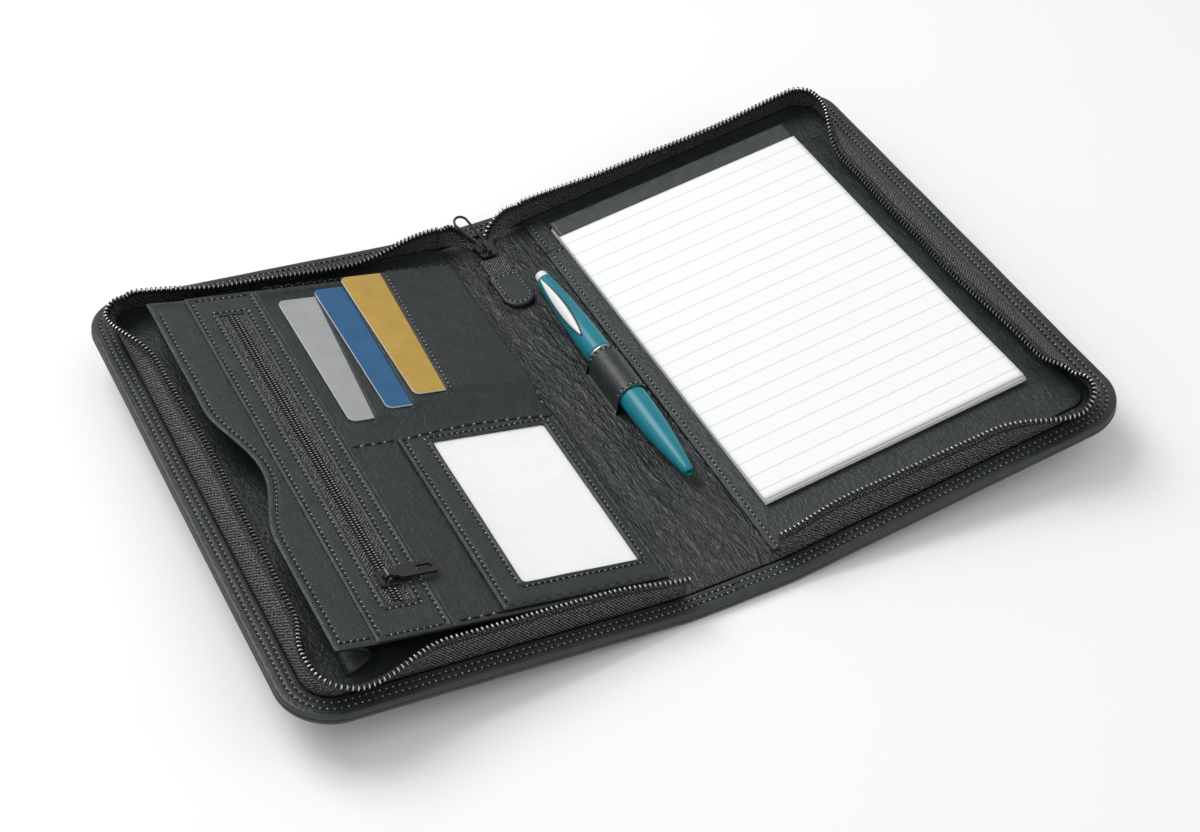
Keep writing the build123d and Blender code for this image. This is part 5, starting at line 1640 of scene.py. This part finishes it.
arch_line = line((pocket_right + 2.0, 0), (pocket_left - 1.0, 0))
arch_line[:, 1] = pocket_back - PANEL_SEAM - arch(arch_line[:, 0])
gold_slit = np.linspace(CARD_BACKS[2] - CARD_LENGTH - 2, CARD_BACKS[2] - 1, 60)
gold_slit = np.stack([slot_edge(2, gold_slit) - 2.0, gold_slit], -1)
view_seam = closed(rounded_loop(*grown(WINDOW, PANEL_SEAM), radius=0.4, per_side=46, per_corner=3))
pocket_seam = pocket_left - PANEL_SEAM
card_rows = [
    stitch_points(gold_slit, on_organizer, on_card_side, width=0.6),
    stitch_points(view_seam, on_organizer, on_window_frame),
    stitch_points(line((pocket_seam, pocket_front + 3), (pocket_seam, pocket_back - 6)), on_organizer,
                  on_window_frame),
]
sew("card_side_stitches", card_rows, "organizer")

spine_seam = ORGANIZER_RIGHT + 1.2
back_seam = ORGANIZER_BACK - PANEL_SEAM
front_seam = ORGANIZER_FRONT + PANEL_SEAM
frame_seam = pocket_front + 1.4
middle_seam = pocket_back - 3.0
bold_seams = [
    (line((spine_seam, pocket_back + 1), (spine_seam, ORGANIZER_BACK - 2)), on_card_side),
    (line((spine_seam, pocket_front + 1), (spine_seam, middle_seam)), on_window_frame),
    (line((ZIP_PANEL_RIGHT - 2, back_seam), (ORGANIZER_RIGHT + 2, back_seam)), on_card_side),
    (line((ZIP_PANEL_RIGHT - 1, middle_seam), (pocket_left + 1, middle_seam)), PANEL_TOP + 0.1),
    (arch_line, on_window_frame),
    (line((ZIP_PANEL_RIGHT - 2, front_seam), (pocket_left + 1, front_seam)), PANEL_TOP + 0.1),
    (line((pocket_left - 1, frame_seam), (pocket_right + 3, frame_seam)), on_window_frame),
]
bold_rows = [stitch_points(seam, on_organizer, height, BOLD_PITCH, BOLD_LENGTH, BOLD_WIDTH)
             for seam, height in bold_seams]
sew("organizer_seams", bold_rows, "organizer")


# Gussets that let the document pocket open
gusset_foot = on_left(GUSSET_SEAM, 0.0, -0.1)
gusset_head = on_organizer(GUSSET_SEAM, 0.0, WALL_LOW)


def gusset_grid(front, back):
    """Folded leather side of the document pocket: a smooth curve from the cover's liner, in to a fold halfway
    up and back out to the pocket's wall, carried along the edge."""
    share = np.linspace(0, 1, 14)[:, None]
    curve = gusset_foot + (gusset_head - gusset_foot) * share
    curve[:, 0] += GUSSET_FOLD * np.sin(np.pi * share[:, 0]) ** 0.8
    y = np.linspace(front, back, 16)
    grid = np.repeat(curve[:, None], len(y), 1)
    grid[..., 1] = y[None]
    grid[..., 0] += 0.5 * ripples(grid[..., 1], grid[..., 2], size=9.0, seed=27) * np.sin(np.pi * share)
    return grid


for name, front, back in (("front_gusset", ORGANIZER_FRONT + 0.2, GUSSET_FRONT),
                          ("back_gusset", GUSSET_BACK, ORGANIZER_BACK - 0.2)):
    grid = gusset_grid(front, back)
    rings, _ = thicken(grid, GUSSET_THICKNESS)
    fold = add_surface(name + "_leather", rings, close_columns=True)
    dress(fold, PANEL_LEATHER, nodes=(name,))
    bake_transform(fold)


# Pen in its loop
def turned(name, profile, sides=48):
    """Piece turned about the pen's axis from (radius, distance from the tip) points."""
    profile = np.asarray(profile, float)
    angle = full_turn(sides)
    x = PEN_X + profile[:, :1] * np.sin(angle)
    z = PEN_Z + profile[:, :1] * np.cos(angle)
    y = np.broadcast_to(PEN_TIP_Y + profile[:, 1:], x.shape)
    return add_surface(name, np.stack([x, y, z], -1), close_columns=True)


def lower_profile():
    """Lower barrel: nose hole, rounded nose lip, then a radius that swells by a square law to the full
    one."""
    share = np.linspace(0, 1, 26)
    nose = PEN_RADIUS - 4.0 * (1 - share) ** 2
    body = np.stack([nose, PEN_SWELL * share], -1)
    inside = [(NOSE_BORE, 9.0), (NOSE_BORE, 0.3), (NOSE_BORE + 0.15, 0.02), (1.9, 0.0)]
    end = [(PEN_RADIUS, 65.0), (PEN_RADIUS, PEN_SPLIT - 0.2), (PEN_RADIUS - 0.2, PEN_SPLIT),
           (PEN_BORE, PEN_SPLIT), (PEN_BORE, 35.0), inside[0]]
    return np.concatenate([inside, body[1:], end])


def upper_profile():
    """Upper barrel: full radius at the ring, falling by a square law to a rounded mouth round the button."""
    start = PEN_SPLIT + RING_WIDTH
    share = np.linspace(0, 1, 30)
    crown = np.stack([PEN_RADIUS - 2.6 * share ** 2, start + (PEN_LENGTH - 0.6 - start) * share], -1)
    seat = [(PEN_BORE, start), (PEN_RADIUS - 0.2, start)]
    end = [(3.45, PEN_LENGTH - 0.1), (3.15, PEN_LENGTH), (3.1, PEN_LENGTH - 12), (PEN_BORE, start + 30),
           seat[0]]
    return np.concatenate([seat, crown, end])


def ring_profile():
    """Ring between the barrels: half an ellipse that stands a little proud of them."""
    turn = np.linspace(-math.pi / 2, math.pi / 2, 9)
    middle = PEN_SPLIT + RING_WIDTH / 2
    bulge = np.stack([PEN_RADIUS - 0.05 + 0.25 * np.cos(turn), middle + RING_HALF * np.sin(turn)], -1)
    start, end = (PEN_BORE, middle - RING_HALF), (PEN_BORE, middle + RING_HALF)
    return np.concatenate([[start], bulge, [end], [start]])


def button_profile():
    """Push button: a rod whose end is rounded by a quarter circle of radius BUTTON_DOME."""
    turn = np.linspace(0, math.pi / 2, 9)
    dome = np.stack([BUTTON_RADIUS - BUTTON_DOME * (1 - np.cos(turn)),
                     BUTTON_END - BUTTON_DOME + BUTTON_DOME * np.sin(turn)], -1)
    foot = [(0.001, BUTTON_START), (BUTTON_RADIUS, BUTTON_START)]
    return np.concatenate([foot, dome, [(0.001, BUTTON_END)]])


dress(turned("pen_lower", lower_profile()), TEAL, "pen", ("pen_lower_barrel",))
dress(turned("pen_upper", upper_profile()), TEAL, "pen", ("pen_upper_barrel",))
dress(turned("pen_band", ring_profile()), SILVER, "pen", ("pen_ring",))
dress(turned("pen_push_button", button_profile(), 36), WHITE_BUTTON, "pen_button",
      ("pen_button",))


def clip_grid(grow, low, high):
    """Leaf-shaped clip surface: two arcs that meet in points, with a domed top. Grid along and across."""
    share = np.linspace(0, 1, 40)
    half = (CLIP_WIDTH / 2 + grow) * np.sin(np.pi * share ** 0.9) ** 0.75
    across = np.linspace(-1, 1, 13)
    along = CLIP_START - grow + (CLIP_LENGTH + 2 * grow) * share
    height = CLIP_LOW + (CLIP_HIGH - CLIP_LOW) * share
    side_way = half[:, None] * across[None]
    dome = (1 - across[None] ** 2) ** 0.5 * (half / half.max())[:, None] ** 0.5
    rise = height[:, None] + low + (high - low) * dome
    x = PEN_X + side_way * math.cos(CLIP_ROLL) - rise * math.sin(CLIP_ROLL)
    z = PEN_Z + side_way * math.sin(CLIP_ROLL) + rise * math.cos(CLIP_ROLL)
    y = np.broadcast_to(PEN_TIP_Y + along[:, None], x.shape)
    return np.stack([x, y, z], -1)


clip = slab("pen_leaf_clip", clip_grid(0.0, 0.25, CLIP_THICKNESS), clip_grid(0.0, 0.0, 0.0))
dress(clip, WHITE_BUTTON, "pen_clip", ("pen_clip",))
# Black plate a little wider than the clip and under it, showing as a dark rim: painted shadow of the groove
# round the clip
seat = slab("pen_clip_shadow_rim", clip_grid(0.55, -0.62, -0.5), clip_grid(0.55, -1.9, -1.9))
dress(seat, BLACK_METAL, "pen")


def loop_section():
    """Section of the pen's leather loop as (x, z): flange, leg and arch over the pen, then back below it."""
    outer, inner = LOOP_OUTER, LOOP_INNER
    drop = PEN_Z - LINING_TOP
    turn = np.linspace(0, math.pi, 28)
    outside = np.stack([outer * np.cos(turn), outer * np.sin(turn)], -1)
    inside = np.stack([inner * np.cos(turn[::-1]), inner * np.sin(turn[::-1])], -1)
    right_out = [(outer + 1.3, 0.05 - drop), (outer + 1.2, 0.3 - drop), (outer + 0.6, 0.45 - drop),
                 (outer + 0.12, 1.1 - drop), (outer, 2.4 - drop)]
    left_out = [(-x, z) for x, z in right_out[::-1]]
    left_foot, right_foot = (-inner, 0.05 - drop), (inner, 0.05 - drop)
    return np.concatenate([right_out, outside, left_out, [left_foot], inside, [right_foot]])


def loop_surface():
    """Pen loop's surface: its section carried along the pen, drawn in at both ends for a rounded edge, with
    small creases on the outside."""
    section = loop_section()
    run = np.linspace(LOOP_START + 0.7, LOOP_END - 0.7, LOOP_ROWS)
    stations = [LOOP_START, LOOP_START + 0.15, *run, LOOP_END - 0.15, LOOP_END]
    edges = [0.35, 0.12, *np.zeros(LOOP_ROWS), 0.12, 0.35]
    rings = []
    for y, edge in zip(stations, edges):
        ring = drawn_in(section, edge)
        radius = np.linalg.norm(ring, axis=1, keepdims=True)
        crease = np.maximum(0.12 * ripples(np.full(len(ring), y), ring[:, 0], size=12.0, seed=33), -0.05)
        ring = ring + ring / np.maximum(radius, 1e-6) * crease[:, None] * (radius > PEN_RADIUS + 0.8)
        rings.append(np.stack([PEN_X + ring[:, 0], np.full(len(ring), y), PEN_Z + ring[:, 1]], -1))
    return np.stack(rings)


pen_holder = add_surface("pen_loop_leather", loop_surface(), close_columns=True, seal=True)
dress(pen_holder, COVER_LEATHER, "spine", ("pen_loop",))


def on_loop(turn, y, h):
    """Points over the loop's arch, with turn as distance round it from its crown."""
    angle = turn / LOOP_OUTER
    radius = LOOP_OUTER + h
    x, z = PEN_X + radius * np.sin(angle), PEN_Z + radius * np.cos(angle)
    return np.stack(np.broadcast_arrays(x, y, z), -1)


loop_rows = [
    stitch_points(line((-LOOP_SEAM, y), (LOOP_SEAM, y), step=1.0), on_loop, 0.05, pitch=2.6, length=1.9,
                  width=0.55)
    for y in (LOOP_START + 1.6, LOOP_END - 1.6)
]
loop_sewing = sew("pen_loop_stitches", loop_rows, "spine")

# Tail tape, leather tab, slider and pull of the main zip
tail_y = np.linspace(TAB_BACK - 6.0, SLIDER_Y - 5.4, 24)
tail_x = SLIDER_X + TAIL_WIDTH / 2 * np.linspace(-1, 1, 14)
grid_y, grid_x = np.meshgrid(tail_y, tail_x, indexing="ij")
tail_rise = 0.08 * ripples(grid_x, grid_y, size=8.0, seed=35)
tail_top = np.stack([grid_x, grid_y, TAIL_TOP + tail_rise], -1)
tail_low = np.stack([grid_x, grid_y, np.full_like(grid_x, TAIL_LOW)], -1)
tail = slab("zip_tail_cloth", tail_top, tail_low)
map_from_above(tail)
dress(tail, TAPE_CLOTH, "spine", ("zip_tail_tape",))


def tab_loop():
    """Outline of the leather tab: straight at the back, a half circle at the front."""
    half = TAB_WIDTH / 2
    front = TAB_BACK - TAB_LENGTH + half
    turn = np.linspace(math.pi, 2 * math.pi, 40)
    curve = np.stack([SLIDER_X + half * np.cos(turn), front + half * np.sin(turn)], -1)
    side_y = np.linspace(front, TAB_BACK, 14)[1:]
    right = np.stack([np.full(13, SLIDER_X + half), side_y], -1)
    back = np.stack([np.linspace(SLIDER_X + half, SLIDER_X - half, 14)[1:], np.full(13, TAB_BACK)], -1)
    left = np.stack([np.full(12, SLIDER_X - half), side_y[::-1][1:]], -1)
    return np.concatenate([curve, right, back, left])


def tab_swell(u, y):
    """Height added to the tab: a slight crown along its middle, the same at every y."""
    return 0.15 * smooth_step(1 - np.abs(u - SLIDER_X) / (TAB_WIDTH / 2))


tab_rings = panel_rings(tab_loop(), TAB_LOW, TAB_TOP, lip=0.8, rows=9)
tab = add_panel("zip_tab_leather", tab_rings, on_spine, tab_swell)
dress(tab, COVER_LEATHER, "spine", ("zip_tail_tab",))
tab_rows = [
    stitch_points(closed(drawn_in(tab_loop(), TAB_SEAM)), on_spine,
                  lambda u, y: TAB_TOP + 0.02 + tab_swell(u, y), pitch=2.4, length=1.8, width=0.6)
]
tab_sewing = sew("zip_tab_stitches", tab_rows, "spine")


def pull_path():
    """Middle line of the wire pull: a long loop with round ends, turned and raised on its pivot."""
    turn = np.linspace(0, math.pi, 14)
    far_middle = PULL_LENGTH - PULL_HALF - PULL_WIRE
    far = np.stack([PULL_HALF * np.cos(turn), far_middle + PULL_HALF * np.sin(turn)], -1)
    near = np.stack([PULL_EYE * np.cos(turn + math.pi), 0.2 + PULL_EYE * np.sin(turn + math.pi)], -1)
    run = np.linspace(0, 1, 12, endpoint=False)[1:, None]
    down = far[-1] + (near[0] - far[-1]) * run
    up = near[-1] + (far[0] - near[-1]) * run
    flat = np.concatenate([far, down, near, up])
    y, z = flat[:, 1] * math.cos(PULL_RISE), flat[:, 1] * math.sin(PULL_RISE)
    x = flat[:, 0] * math.cos(PULL_TURN) - y * math.sin(PULL_TURN)
    y = flat[:, 0] * math.sin(PULL_TURN) + y * math.cos(PULL_TURN)
    return np.stack([x, y, z], -1) + PULL_PIVOT


pull = tube("main_wire_pull", pull_path(), PULL_WIRE + 0.02, sides=12, ring_shaped=True)
dress(pull, BLACK_METAL, "main_pull", ("main_zip_pull",))

NODE_FINISHES = {
    BOARD: ("left_board", "right_board"),
    PAD_BOARD: ("pad_backing_board",),
    BLACK_METAL: ("main_zip_slider", "pocket_zip_slider", "pocket_zip_pull"),
    BRASS: ("pen_refill",),
    STEEL: ("pen_spring",),
}
for finish, names in NODE_FINISHES.items():
    for name in names:
        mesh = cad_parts[name].data
        mesh.materials.clear()
        mesh.materials.append(finish)

# Floor, light and camera
bpy.ops.mesh.primitive_plane_add(size=6.0, location=(0, 0, -0.0002))
floor = bpy.context.object
floor.name = "floor"
floor.data.materials.append(plain_finish("pale_floor", (0.95, 0.95, 0.95), 0.9, spread=0.0, bump=0.0))
for name, place, size, energy in (
    ("key_light", (-0.5, 0.75, 1.3), 1.0, 15.0),
    ("fill_light", (0.9, -0.9, 1.2), 1.6, 4.2),
    ("front_light", (-0.9, -0.8, 1.1), 1.6, 3.7),
):
    lamp = bpy.data.lights.new(name, "AREA")
    lamp.size = size
    lamp.energy = energy
    holder = bpy.data.objects.new(name, lamp)
    holder.location = place
    holder.rotation_euler = (-Vector(place)).to_track_quat("-Z", "Y").to_euler()
    bpy.context.scene.collection.objects.link(holder)
world = bpy.data.worlds.new("studio")
world.use_nodes = True
world.node_tree.nodes["Background"].inputs["Color"].default_value = (1, 1, 1, 1)
world.node_tree.nodes["Background"].inputs["Strength"].default_value = 0.48
bpy.context.scene.world = world
bpy.context.scene.view_settings.view_transform = "Standard"

CAMERA_PLACE = (-0.3127, -0.6221, 0.6555)
CAMERA_TURN = math.radians(26.87)
CAMERA_DIP = math.radians(43.68)
CAMERA_LENS = 65.37
lens = bpy.data.cameras.new("camera")
lens.lens = CAMERA_LENS
camera = bpy.data.objects.new("camera", lens)
camera.location = CAMERA_PLACE
camera.rotation_euler = (math.pi / 2 - CAMERA_DIP, 0, -CAMERA_TURN)
bpy.context.scene.collection.objects.link(camera)
bpy.context.scene.camera = camera
